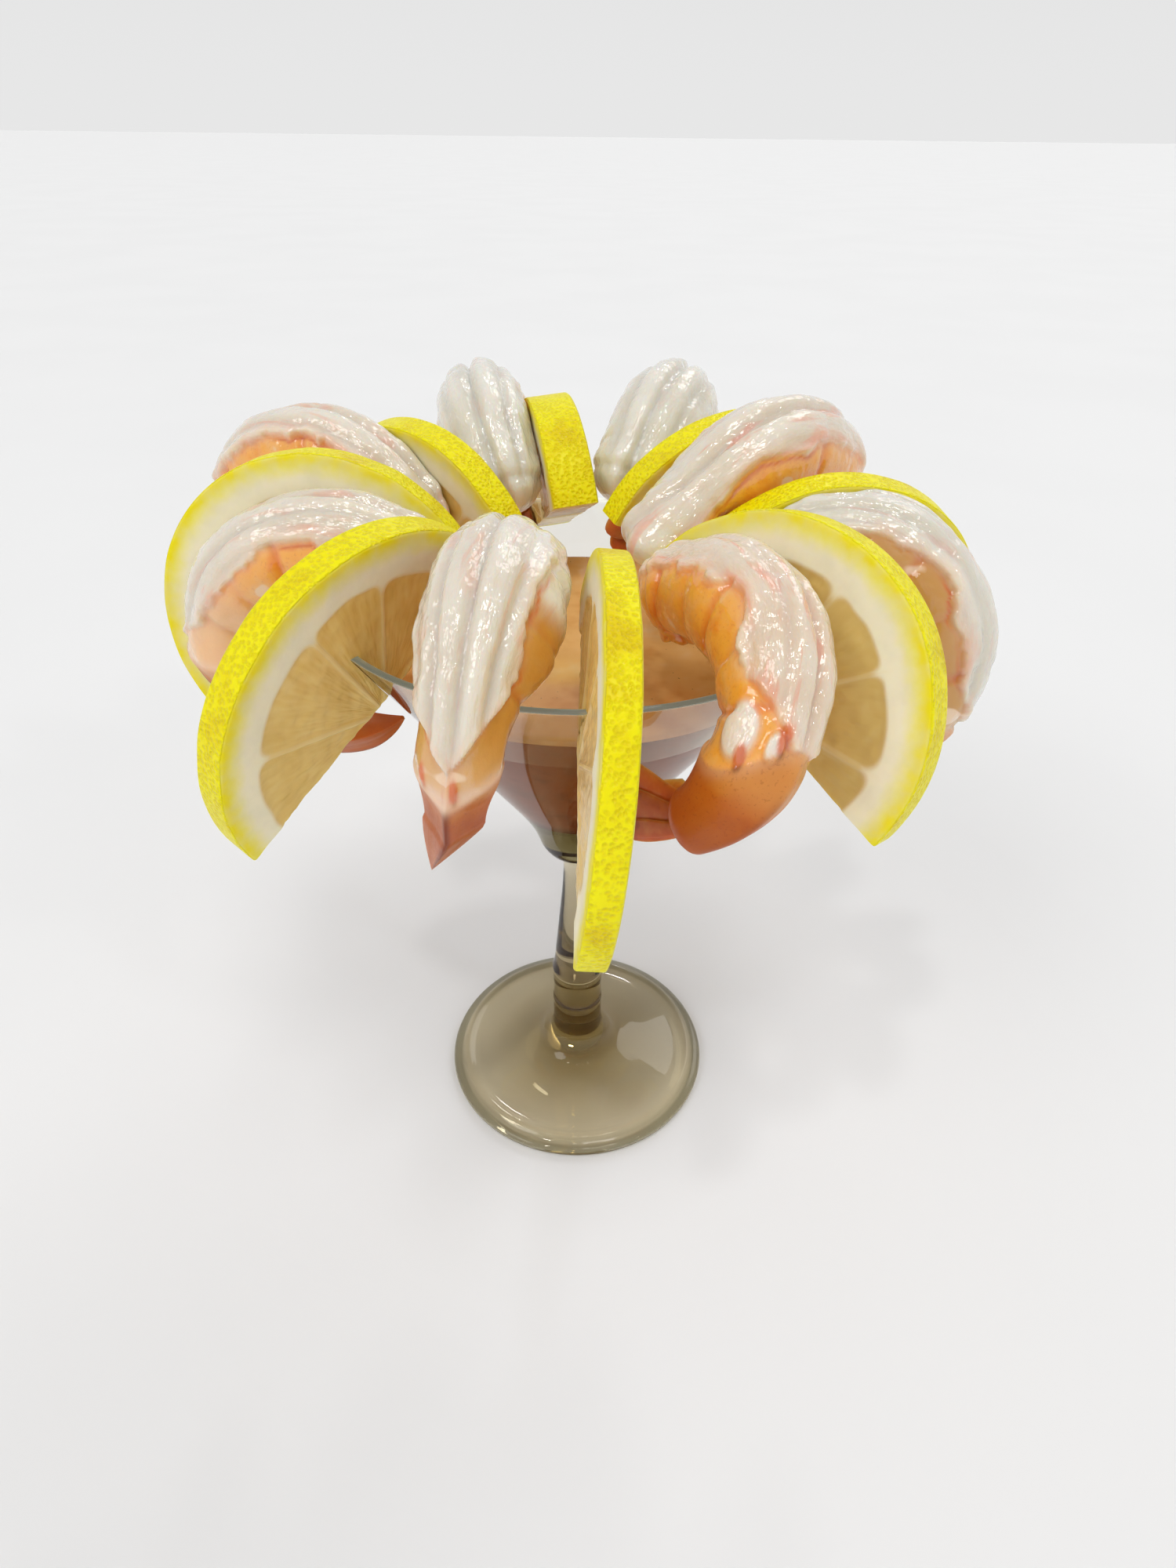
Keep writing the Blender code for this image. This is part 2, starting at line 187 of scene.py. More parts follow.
def waves(u, v, seed, around=61):
    """Smooth noise from -1 to 1, one cell for each unit of u and v, the same again after around of v."""
    table = np.random.default_rng(seed).uniform(-1.0, 1.0, (NOISE_ROWS, around))
    u, v = np.broadcast_arrays(np.asarray(u, float), np.asarray(v, float))
    row, column = np.floor(u).astype(int), np.floor(v).astype(int)
    across, down = u - row, v - column
    across, down = across * across * (3 - 2 * across), down * down * (3 - 2 * down)
    row, column = (row % NOISE_ROWS, (row + 1) % NOISE_ROWS), (column % around, (column + 1) % around)
    top, low = (table[r, column[0]] * (1 - down) + table[r, column[1]] * down for r in row)
    return top * (1 - across) + low * across


def blend_rows(rows, place):
    """Values at places along rows of (place, value), eased between them."""
    value = np.full(np.shape(place), rows[0][1], float)
    for (start, low), (end, high) in zip(rows, rows[1:]):
        value += (high - low) * ease(start, end, place)
    return value


def rounded(outline):
    """Points along an outline of (radius, height, fillet), with a curve of that reach at each corner."""
    points = [Vector(outline[0][:2])]
    for before, corner, after in zip(outline, outline[1:], outline[2:]):
        here = Vector(corner[:2])
        back, on = Vector(before[:2]) - here, Vector(after[:2]) - here
        reach = min(corner[2], back.length * 0.49, on.length * 0.49)
        if reach <= 0:
            points.append(here)
            continue
        start, end = here + back.normalized() * reach, here + on.normalized() * reach
        for share in np.arange(FILLET_STEPS + 1) / FILLET_STEPS:
            points.append(start * (1 - share) ** 2 + here * 2 * share * (1 - share) + end * share ** 2)
    points.append(Vector(outline[-1][:2]))
    return supported(points)


def supported(points):
    """The outline with points added along it, and close to each corner, so that it shades evenly."""
    full = []
    for start, end in zip(points, points[1:]):
        length = (end - start).length
        full.append(start)
        if length > 4 * CORNER_REACH:
            pieces = max(1, round(length / OUTLINE_STEP))
            near = CORNER_REACH / length
            shares = sorted([near, 1 - near, *(n / pieces for n in range(1, pieces))])
            full += [start.lerp(end, share) for share in shares]
    return full + [points[-1]]


def turned(name, outline, steps):
    """A solid of revolution about Z from an outline in millimetres, down its outer side."""
    points = [(point.x * MM, 0.0, point.y * MM) for point in rounded(outline)]
    mesh = bpy.data.meshes.new(name)
    mesh.from_pydata(points, [(i, i + 1) for i in range(len(points) - 1)], [])
    made = link(name, mesh)
    screw = made.modifiers.new("turn", "SCREW")
    screw.steps = screw.render_steps = steps
    screw.use_merge_vertices = True
    screw.merge_threshold = 0.00001
    screw.use_smooth_shade = True
    return made


def link(name, data):
    made = bpy.data.objects.new(name, data)
    bpy.context.scene.collection.objects.link(made)
    return made


def smooth_mesh(name, points, faces, gap=0.0):
    """A mesh with its faces turned outwards, after points closer than gap are made one."""
    mesh = bpy.data.meshes.new(name)
    mesh.from_pydata(points.tolist(), [], faces)
    mesh.validate()
    mesh.shade_smooth()
    bm = bmesh.new()
    bm.from_mesh(mesh)
    if gap:
        bmesh.ops.remove_doubles(bm, verts=bm.verts, dist=gap)
        bmesh.ops.dissolve_degenerate(bm, edges=bm.edges, dist=gap / 2)
    bmesh.ops.recalc_face_normals(bm, faces=bm.faces)
    bm.to_mesh(mesh)
    bm.free()
    return mesh


def grid_points(x, y, z):
    return np.stack(np.broadcast_arrays(x, y, z), -1)


def grid_faces(rows, columns, closed, first=0):
    """Quads over a grid of points, row by row. A closed grid joins its last column to its first."""
    row, column = np.ogrid[:rows - 1, :columns if closed else columns - 1]
    after = (column + 1) % columns
    quads = np.stack([row * columns + column, row * columns + after,
                      (row + 1) * columns + after, (row + 1) * columns + column], -1)
    return quads.reshape(-1, 4) + first


def store(mesh, name, values):
    """Keeps one number for each point of a mesh, for its material to read."""
    made = mesh.attributes.get(name) or mesh.attributes.new(name, "FLOAT", "POINT")
    made.data.foreach_set("value", np.asarray(values, np.float32).ravel())


def points_of(mesh):
    points = np.empty(len(mesh.vertices) * 3, np.float32)
    mesh.vertices.foreach_get("co", points)
    return points.reshape(-1, 3).astype(float)


def rim_matrix(row, dip=0.0):
    """Placing at the rim: X outwards and down by dip, Z up, Y along the rim."""
    turn = Matrix.Rotation(math.radians(row["bearing"]), 4, "Z")
    rim = Matrix.Translation((RIM_RADIUS - WALL / 2, 0.0, GLASS_TOP))
    return np.array(turn @ rim @ Matrix.Rotation(math.radians(row["twist"]), 4, "Z")
                    @ Matrix.Rotation(math.radians(dip), 4, "Y")
                    @ Matrix.Rotation(math.radians(row["lean"]), 4, "X"))


def slice_matrix(row):
    shift = np.array(Matrix.Translation((row["slide"] * MM, 0.0, -row["slit"] * MM)))
    return rim_matrix(row, row["dip"]) @ shift


def placed(points, matrix):
    return points @ matrix[:3, :3].T + matrix[:3, 3]


CONE_SLOPE = (RIM_RADIUS - CONE_START[0]) / (GLASS_TOP - CONE_START[1])
# How much longer a level line through the wall is than one square to it.
LEVEL_SHARE = math.hypot(1.0, CONE_SLOPE)


def bowl_radius(height):
    """The bowl's outside, a straight cone up to the rim."""
    return CONE_START[0] + CONE_SLOPE * (height - CONE_START[1])


def bowl_inside(height):
    return bowl_radius(height) - WALL * LEVEL_SHARE


def bowl_floor(bite=0.0):
    """The bottom of the bowl's inside in millimetres, from its middle outwards, moved out by bite."""
    side = bowl_inside(83.5 * MM) / MM + bite
    return [(0.0, 80.0 - bite, 0.0), (10.2, 80.2 - bite, 1.6), (side, 83.5, 2.0)]


# Material helpers

def new_material(name):
    made = bpy.data.materials.new(name)
    made.use_nodes = True
    made.node_tree.nodes.clear()
    return made, Nodes(made.node_tree)


class Nodes:
    """Adds nodes to a tree and joins them in one call."""

    def __init__(self, tree):
        self.tree = tree

    def add(self, kind, inputs=None, **settings):
        node = self.tree.nodes.new(kind)
        for key, value in settings.items():
            setattr(node, key, value)
        for key, value in (inputs or {}).items():
            self.feed(node.inputs[key], value)
        return node

    def feed(self, socket, value):
        """Joins a socket to another or to a node's first output, or gives it a colour or number.

        Text stands for the number of that name stored at each point of the mesh."""
        if isinstance(value, str):
            value = self.add("ShaderNodeAttribute", attribute_name=value).outputs["Fac"]
        if isinstance(value, bpy.types.Node):
            value = next(out for out in value.outputs if out.enabled)
        if isinstance(value, bpy.types.NodeSocket):
            self.tree.links.new(value, socket)
        elif socket.type == "RGBA":
            socket.default_value = (*value[:3], 1.0)
        else:
            socket.default_value = value

    def math(self, operation, first, second=0.0, third=0.0):
        return self.add("ShaderNodeMath", {0: first, 1: second, 2: third}, operation=operation)

    def times(self, first, *others):
        for other in others:
            first = self.math("MULTIPLY", first, other)
        return first

    def ramp(self, value, low, high, start=0.0, end=1.0):
        """From start to end as value goes from low to high, smoothly, and level outside them."""
        ends = {"From Min": low, "From Max": high, "To Min": start, "To Max": end}
        return self.add("ShaderNodeMapRange", {"Value": value, **ends}, interpolation_type="SMOOTHSTEP")

    def mix(self, share, first, second):
        node = self.add("ShaderNodeMix", data_type="RGBA", clamp_factor=True)
        for key, value in zip(("Factor", 6, 7), (share, first, second)):
            self.feed(node.inputs[key], value)
        return node.outputs[2]

    def layers(self, colour, *coats):
        """A colour with others laid over it in turn, each given by its mask and its colour."""
        for mask, coat in coats:
            colour = self.mix(mask, colour, coat)
        return colour

    def place(self):
        return self.add("ShaderNodeTexCoord").outputs["Object"]

    def vector(self, x, y, z=0.0):
        return self.add("ShaderNodeCombineXYZ", {0: x, 1: y, 2: z}).outputs[0]

    def parts(self, vector):
        return self.add("ShaderNodeSeparateXYZ", {0: vector}).outputs

    def noise(self, scale, detail=2.0, rough=0.5, vector=None, distortion=0.0):
        inputs = {"Scale": scale, "Detail": detail, "Roughness": rough, "Distortion": distortion}
        return self.add("ShaderNodeTexNoise", {"Vector": vector or self.place(), **inputs}).outputs["Fac"]

    def group(self, name, inputs):
        node = self.tree.nodes.new("ShaderNodeGroup")
        node.node_tree = bpy.data.node_groups[name]
        for key, value in inputs.items():
            self.feed(node.inputs[key], value)
        return node.outputs

    def mottle(self, colour, darker, paler, scale, amount):
        inputs = {"Color": colour, "Darker": darker, "Paler": paler, "Scale": scale, "Amount": amount}
        return self.group("mottle", inputs)["Color"]

    def bump(self, height, strength, reach, under=None):
        node = self.add("ShaderNodeBump", {"Strength": strength, "Distance": reach, "Height": height})
        if under:
            self.feed(node.inputs["Normal"], under)
        return node.outputs["Normal"]

    def surface(self, inputs):
        """The main shader with its sockets fed, joined to the output."""
        shader = self.add("ShaderNodeBsdfPrincipled", inputs)
        self.add("ShaderNodeOutputMaterial", {"Surface": shader.outputs[0]})


def srgb(red, green, blue):
    """A colour given in the usual 0 to 255 steps, as linear light."""
    return tuple((c / 255 / 12.92) if c / 255 <= 0.04045 else ((c / 255 + 0.055) / 1.055) ** 2.4
                 for c in (red, green, blue))


def new_group(name, inputs, outputs):
    """A shader node group with named sockets of (name, type, default)."""
    tree = bpy.data.node_groups.new(name, "ShaderNodeTree")
    for label, kind, default in inputs:
        socket = tree.interface.new_socket(name=label, in_out="INPUT", socket_type=kind)
        socket.default_value = default
    for label, kind in outputs:
        tree.interface.new_socket(name=label, in_out="OUTPUT", socket_type=kind)
    nodes = Nodes(tree)
    return nodes, nodes.add("NodeGroupInput"), nodes.add("NodeGroupOutput")


def build_mottle_group():
    """Soft uneven colour: a colour shifted towards two others by noise of a given size."""
    nodes, given, out = new_group(
        "mottle",
        [("Color", "NodeSocketColor", (1, 1, 1, 1)), ("Darker", "NodeSocketColor", (0.5, 0.5, 0.5, 1)),
         ("Paler", "NodeSocketColor", (1, 1, 1, 1)), ("Scale", "NodeSocketFloat", 200.0),
         ("Amount", "NodeSocketFloat", 0.5)],
        [("Color", "NodeSocketColor")])
    noise = nodes.noise(given.outputs["Scale"], 3.0, 0.55)
    dark = nodes.times(nodes.ramp(noise, 0.50, 0.28), given.outputs["Amount"])
    pale = nodes.times(nodes.ramp(noise, 0.50, 0.72), given.outputs["Amount"])
    nodes.feed(out.inputs["Color"], nodes.layers(given.outputs["Color"], (dark, given.outputs["Darker"]),
                                                 (pale, given.outputs["Paler"])))


def build_pit_group():
    """The pores of citrus skin: a mask and a height, from cells of a given size."""
    nodes, given, out = new_group(
        "pores",
        [("Scale", "NodeSocketFloat", 900.0), ("Width", "NodeSocketFloat", 0.3)],
        [("Mask", "NodeSocketFloat"), ("Height", "NodeSocketFloat")])
    where = nodes.place()
    wobble = nodes.add("ShaderNodeTexNoise", {"Vector": where, "Scale": 350.0, "Detail": 1.0})
    shift = nodes.add("ShaderNodeVectorMath", {0: wobble.outputs["Color"], "Scale": 0.9 * MM},
                      operation="SCALE")
    moved = nodes.add("ShaderNodeVectorMath", {0: where, 1: shift}, operation="ADD")
    cells = nodes.add("ShaderNodeTexVoronoi", {"Vector": moved, "Scale": given.outputs["Scale"],
                                               "Randomness": 0.9}, feature="F1")
    mask = nodes.ramp(cells.outputs["Distance"], given.outputs["Width"], 0.05)
    nodes.feed(out.inputs["Mask"], mask)
    nodes.feed(out.inputs["Height"], nodes.math("SUBTRACT", 1.0, mask))


# Glass and sauce

# Painted shade, darkening the thick base of the bowl and the edge of the foot, and the colour that light
# takes through the glass in shadows.
BASE_PAINTED_SHADE = (0.36, 0.37, 0.30)
FOOT_EDGE_PAINTED_SHADE = (0.50, 0.50, 0.42)
SHADOW_TINT = (0.62, 0.58, 0.50)


def glass_material(settings):
    """Clear glass, very slightly smoky with depth, that lets lamps shine through to what it holds, with
    painted shade in the base of the bowl and at the edge of the foot, and a painted glow at the rim.
    """
    made, nodes = new_material("clear_glass")
    x, y, height = nodes.parts(nodes.place())
    radius = nodes.add("ShaderNodeVectorMath", {0: nodes.vector(x, y)}, operation="LENGTH").outputs["Value"]
    # Painted shade: the base of the bowl and the outer edge of the foot are tinted darker.
    base = nodes.times(nodes.ramp(height, 63 * MM, 68 * MM), nodes.ramp(height, 84 * MM, 79 * MM))
    edge = nodes.times(nodes.ramp(radius, 28.2 * MM, 29.2 * MM), nodes.ramp(height, 6 * MM, 4 * MM), 0.7)
    # The top of the rim is rougher and has a painted glow: it gives off a faint light of its own.
    rim = nodes.ramp(height, GLASS_TOP - 1.0 * MM, GLASS_TOP - 0.3 * MM)
    shader = nodes.add("ShaderNodeBsdfPrincipled", {
        "Base Color": nodes.layers((1.0, 1.0, 1.0), (base, BASE_PAINTED_SHADE), (edge, FOOT_EDGE_PAINTED_SHADE)),
        "Roughness": nodes.times(rim, 0.3), "IOR": 1.43, "Transmission Weight": 1.0,
        "Specular IOR Level": 0.12, "Normal": nodes.bump(nodes.noise(90.0, 4.0, 0.6), 0.03, 0.4 * MM),
        "Emission Color": nodes.mix(rim, (0.0, 0.0, 0.0), settings.rim_color), "Emission Strength": 1.0})
    clear = nodes.add("ShaderNodeBsdfTransparent", {"Color": SHADOW_TINT})
    shadow = nodes.add("ShaderNodeLightPath").outputs["Is Shadow Ray"]
    mixed = nodes.add("ShaderNodeMixShader", {0: shadow, 1: shader.outputs[0], 2: clear.outputs[0]})
    depth = {"Color": settings.tint, "Density": settings.depth_of_tint}
    smoke = nodes.add("ShaderNodeVolumeAbsorption", depth)
    nodes.add("ShaderNodeOutputMaterial", {"Surface": mixed.outputs[0], "Volume": smoke.outputs[0]})
    return made


def glass_outline():
    """The glass in millimetres: the inside from its floor up, over the rim, down the bowl, stem and foot."""
    top = GLASS_TOP / MM
    rim = [(bowl_inside(GLASS_TOP) / MM + 0.12, top, 0.75), (bowl_radius(GLASS_TOP) / MM - 0.25, top, 0.75)]
    bowl = [(13.0, 80.0, 6.0), (9.8, 74.5, 3.0), (7.9, 69.0, 1.2), (6.6, 67.2, 0.6), (4.2, 66.4, 0.8)]
    stem = [(3.1, 62.5, 3.5), (3.4, 56.0, 8.0), (5.4, 33.0, 8.0)]
    for bead in (30.5, 20.5):
        stem += [(5.7, bead + 1.2, 0.6), (6.0, bead, 0.8), (5.8, bead - 1.2, 0.6)]
    foot = [(5.9, 13.0, 2.0), (6.6, 9.5, 2.5), (9.0, 6.2, 4.0), (14.0, 4.4, 5.0), (25.6, 2.7, 1.5),
            (27.9, 3.7, 1.1), (29.4, 2.5, 0.8), (31.0, 2.1, 0.8), (31.5, 0.9, 0.8), (30.8, 0.0, 0.6),
            (0.0, 0.0, 0.0)]
    return bowl_floor() + rim + bowl + stem + foot


def sauce_outline():
    """The sauce in millimetres, reaching a little into the wall, its edge drawn up against the glass."""
    level, bite = SAUCE_TOP / MM - 0.6, 0.35
    edge = bowl_inside(SAUCE_TOP) / MM
    surface = [(0.0, level, 0.0), (edge * 0.5, level + 0.15, 9.0), (edge - 3.0, level, 1.5),
               (edge + bite, level + 1.1, 0.0)]
    return surface + bowl_floor(bite)[::-1]


def sauce_material(settings):
    """A thin brown-red sauce, with painted light on its upward surface and painted shade on its sides: paler
    where its surface shows, dark and muted against the glass.
    """
    made, nodes = new_material("cocktail_sauce")
    # Painted light and shade: faces that point up take the paler colour of the lit top, the others the
    # darker colour of the shaded sides.
    top = nodes.ramp(nodes.parts(nodes.add("ShaderNodeNewGeometry").outputs["Normal"])[2], 0.55, 0.9)
    body = nodes.mottle(settings.shaded_side_color, srgb(112, 56, 20), srgb(156, 92, 46), 120.0, 0.6)
    painted_lit_top = nodes.mottle(settings.lit_top_color, srgb(226, 160, 86), srgb(252, 220, 166), 90.0, 0.7)
    specks = nodes.times(nodes.ramp(nodes.noise(1400.0, 1.0), 0.76, 0.80), 0.7)
    nodes.surface({"Base Color": nodes.layers(body, (top, painted_lit_top), (specks, srgb(70, 34, 22))),
                   "Roughness": 0.4, "Coat Weight": top, "Coat Roughness": 0.12, "Specular IOR Level": 0.0,
                   "Normal": nodes.bump(nodes.noise(160.0, 2.0), 0.25, 1.0 * MM)})
    return made


# Lemon slices

# The skin, the pith and the rounding of the skin's edges, in millimetres.
RIND = 1.3
PITH = 5.4
SLICE_BEVEL = 0.55
WEDGES = 9
FACE_RINGS = 58
FACE_RAYS = 150
EDGE_ROWS = 4
CUT_ROWS = 8
# Points closer than this, in millimetres, are made one.
MEETING_GAP = 0.002
# The copy of the wall that cuts the slits: how far down it goes, and how much less it has on each side.
BAND_DEPTH = 45 * MM
BAND_THINNER = 0.12 * MM


def soft_least(first, second, reach):
    """The smaller of two distances, with the corner between them rounded by reach."""
    share = np.clip(0.5 + 0.5 * (second - first) / reach, 0, 1)
    return second * (1 - share) + first * share - reach * share * (1 - share)


def outline_share(angle, seed):
    """How far a slice's slightly uneven outline is out at an angle, as a share of its radius."""
    return 1 + 0.010 * waves(angle * 1.6, 0.5, seed) + 0.004 * waves(angle * 6, 0.5, seed + 1)


def flesh_pattern(row, x, z, seed):
    """Distances in millimetres at points of a slice's face: from the skin, into the flesh, to a wall."""
    radius, angle = np.hypot(x, z), np.arctan2(z, x)
    step = 2 * math.pi / WEDGES
    place = (angle - math.radians(row["turn"])) / step
    place = place + 0.10 * np.sin(angle * 2 + seed) + 0.05 * np.sin(angle * 5 + 2 * seed)
    off = np.abs(place - np.round(place)) * step
    wall = radius * np.sin(np.minimum(off, 1.4)) - 0.14
    uneven = 0.5 * waves(angle * 2.2 + 20, 0.5, seed + 3) + 0.25 * waves(angle * 7 + 20, 0.5, seed + 4)
    outside = row["radius"] - RIND - PITH + uneven - radius
    flesh = soft_least(soft_least(outside, wall, 2.6), radius - 1.6 + uneven, 1.6)
    return row["radius"] - radius, flesh, wall


def slice_mesh(name, row, seed):
    """One half-slice in millimetres: its two faces joined by a bevelled skin, and closed at the cut."""
    half, past = row["thickness"] / 2, row["past"]
    flat = half - SLICE_BEVEL
    angles = np.linspace(0, math.pi, FACE_RAYS)
    reach = past * np.sin(angles) + np.sqrt(row["radius"] ** 2 - (past * np.cos(angles)) ** 2)
    reach = (reach * outline_share(angles, seed))[None, :]
    bevel = np.linspace(math.pi / 2, 0, EDGE_ROWS + 1)[1:, None]
    out = np.concatenate([np.linspace(0, 1, FACE_RINGS)[:, None] * (reach - SLICE_BEVEL),
                          reach - SLICE_BEVEL + SLICE_BEVEL * np.cos(bevel), np.repeat(reach, EDGE_ROWS, 0)])
    across = np.concatenate([np.full((FACE_RINGS, 1), half), flat + SLICE_BEVEL * np.sin(bevel),
                             np.linspace(flat, 0, EDGE_ROWS + 1)[1:, None]])
    rows = len(across)
    out, thick = np.concatenate([out, out[-2::-1]]), np.concatenate([across, -across[-2::-1]])
    x, z = out * np.cos(angles), out * np.sin(angles) - past
    points, faces = grid_points(x, thick, z).reshape(-1, 3), [grid_faces(len(thick), FACE_RAYS, False)]
    for end in (0, FACE_RAYS - 1):
        quads = grid_faces(rows, CUT_ROWS, False, len(points))
        faces.append(quads if end else quads[:, ::-1])
        cut = grid_points(x[:rows, end, None], across * np.linspace(1, -1, CUT_ROWS), z[:rows, end, None])
        points = np.concatenate([points, cut.reshape(-1, 3)])
    return smooth_mesh(name, points, np.concatenate(faces).tolist(), MEETING_GAP)


def rim_band(name, steps):
    """The wall near the rim, a little thinner than the glass, so that each slice grips it without a gap."""
    low, top = GLASS_TOP - BAND_DEPTH, GLASS_TOP + 0.05 * MM
    profile = [(bowl_inside(low) + BAND_THINNER, low), (bowl_inside(top) + BAND_THINNER, top),
               (bowl_radius(top) - BAND_THINNER, top), (bowl_radius(low) - BAND_THINNER, low)]
    radius, height = np.array(profile + profile[:1]).T[..., None]
    turn = np.linspace(0, 2 * math.pi, steps, endpoint=False)
    ring = grid_points(radius * np.cos(turn), radius * np.sin(turn), height).reshape(-1, 3)
    faces = grid_faces(len(radius), steps, True).tolist()
    band = link(name, smooth_mesh(name, ring, faces, MEETING_GAP * MM))
    band.hide_render = True
    band.display_type = "WIRE"
    return band


def cut_away(made, cutter):
    """Applies a Boolean cut and keeps the result as the object's own mesh."""
    cut = made.modifiers.new("cut", "BOOLEAN")
    cut.object = cutter
    graph = bpy.context.evaluated_depsgraph_get()
    mesh = bpy.data.meshes.new_from_object(made.evaluated_get(graph))
    made.modifiers.clear()
    made.data = mesh


def lemon_material(settings):
    """Pitted yellow skin with painted shade in its pores, a ring of skin round the cut faces, creamy pith
    and golden wet flesh, darker where riper and, as painted shade, towards each slice's outer half.
    """
    made, nodes = new_material("lemon")
    pores = nodes.group("pores", {"Scale": 1500.0, "Width": 0.7})
    fine = nodes.noise(500.0, 3.0)
    rind = nodes.mottle(settings.skin_color, srgb(228, 200, 0), srgb(250, 240, 12), 110.0, 0.8)
    # Painted shade: the pores, the low points of the skin, are drawn a darker yellow.
    skin_with_shaded_pores = nodes.mix(nodes.times(pores["Mask"], 0.3), rind, srgb(222, 188, 0))
    ragged = nodes.math("ADD", "skin", nodes.ramp(fine, 0.2, 0.8, -0.35, 0.35))
    pith = nodes.layers(srgb(238, 222, 12), (nodes.ramp(ragged, 0.5, 2.2), srgb(240, 230, 112)),
                        (nodes.ramp(ragged, 1.5, 4.6), settings.pith_color),
                        (nodes.ramp(nodes.noise(260.0, 3.0), 0.35, 0.75, 0.0, 0.35), srgb(226, 220, 192)))
    cell_at = nodes.vector(nodes.times("ray", 26.0), nodes.times("skin", 0.32), "ripeness_and_shade")
    cells = nodes.add("ShaderNodeTexVoronoi", {"Vector": cell_at, "Scale": 1.0}, feature="SMOOTH_F1")
    cells = cells.outputs["Distance"]
    # Riper flesh is darker; that mask also carries painted shade towards each slice's outer, lower half.
    juice = nodes.layers(settings.flesh_color,
                         (nodes.ramp(cells, 0.15, 0.75, 0.2, 0.75), srgb(250, 222, 142)),
                         (nodes.ramp(nodes.noise(150.0, 2.0), 0.35, 0.7, 0.0, 0.6), srgb(226, 184, 92)),
                         (nodes.times("ripeness_and_shade", 0.7), srgb(206, 178, 108)),
                         (nodes.times(nodes.ramp("flesh", 1.3, 0.1), 0.12), srgb(244, 218, 150)))
    inner = nodes.math("MAXIMUM", nodes.ramp("flesh", -0.5, 0.5), nodes.ramp("skin", 7.0, 9.0, 0.0, 0.85))
    walls = nodes.times(nodes.ramp("wall", 0.4, -0.2), nodes.ramp("skin", 4.0, 7.5, 0.0, 0.10))
    on_skin = nodes.ramp("skin", 0.25, 0.08)
    colour = nodes.layers(pith, (inner, juice), (walls, srgb(240, 210, 142)), (on_skin, skin_with_shaded_pores))
    wet = nodes.ramp("flesh", -0.2, 0.3)
    height = nodes.math("ADD", nodes.times(cells, nodes.times(wet, -0.4)), nodes.times(fine, 0.25))
    height = nodes.math("ADD", nodes.times(pores["Height"], on_skin), height)
    rough = nodes.math("ADD", nodes.ramp(wet, 0.0, 1.0, 0.55, 0.22), nodes.times(on_skin, -0.19))
    nodes.surface({"Base Color": colour, "Roughness": rough, "Specular IOR Level": 0.2,
                   "Normal": nodes.bump(height, 0.8, 0.3 * MM), "Subsurface Weight": 0.35,
                   "Subsurface Radius": (1.0, 0.75, 0.3), "Subsurface Scale": 2.5 * MM})
    return made


def make_slice(number, row, band, surface):
    name, seed = f"lemon_half_slice_{number}", SLICE_SEED + number * 7
    mesh = slice_mesh(name, row, seed)
    points = points_of(mesh)
    x, y, z = points.T
    skin, flesh, _ = flesh_pattern(row, x, z, seed)
    sunk = 0.30 * ease(-0.1, 0.8, flesh) * (1 + 0.5 * waves(x * 0.9, z * 0.9, seed + 5))
    bulge = 0.10 * waves(x * 0.35 + 9, z * 0.35 + 9, seed + 6)
    points[:, 1] += y / (row["thickness"] / 2) * (bulge - sunk) * ease(0.2, 1.2, skin)
    matrix = slice_matrix(row)
    mesh.vertices.foreach_set("co", placed(points * MM, matrix).astype(np.float32).ravel())
    mesh.update()
    made = link(name, mesh)
    cut_away(made, band)

    x, _, z = placed(points_of(made.data), np.linalg.inv(matrix)).T / MM
    _, flesh, wall = flesh_pattern(row, x, z, seed)
    ray = np.arctan2(z, x)
    skin = row["radius"] * outline_share(np.clip(ray, 0, math.pi), seed) - np.hypot(x, z)
    # Each slice's own ripeness, plus painted shade: the flesh darkens towards the outer, lower half of the
    # slice.
    ripeness_and_shade = row["ripeness_and_shade"] + 0.5 * ease(0, 25, x)
    for key, value in dict(skin=skin, flesh=flesh, wall=wall, ray=ray, ripeness_and_shade=ripeness_and_shade).items():
        store(made.data, key, value)
    made.data.materials.clear()
    made.data.materials.append(surface)
    made.data.shade_smooth()
    made.data.set_sharp_from_angle(angle=math.radians(50))
    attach(made, "root")
    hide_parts(f"lemon_slice_{number}")
    return made


# Prawns

def curl_line(row, along):
    """Centre points and directions, in millimetres, at places along the body in shares of its length."""
    fine = np.linspace(-0.1, 1.6, 1701)
    turn = np.where(fine < 1, row["curl"] + row["tighten"] * (2 * fine - 1), row["flick"])
    step = (fine[1] - fine[0]) * row["length"]
    angle = -np.concatenate([[0.0], np.cumsum((turn[1:] + turn[:-1]) / 2 * step)])
    angle = np.radians(row["start"] + angle - np.interp(0.0, fine, angle))
    middle = (angle[1:] + angle[:-1]) / 2
    out, up = (np.concatenate([[0.0], np.cumsum(part(middle) * step)]) for part in (np.cos, np.sin))
    out += -row["reach"] - np.interp(0.0, fine, out)
    up += row["rise"] - np.interp(0.0, fine, up)
    return (np.interp(along, fine, values) for values in (out, up, angle))


def curled(row, along, over, beside):
    """Points in millimetres over and beside places along the body, as it curls and its fan sways."""
    out, up, tilt = curl_line(row, along)
    sway = row["sway"] * np.clip((along - 1) * row["length"] / row["fan"], 0, 1)
    return grid_points(out - np.sin(tilt) * over, beside + sway, up + np.cos(tilt) * over)


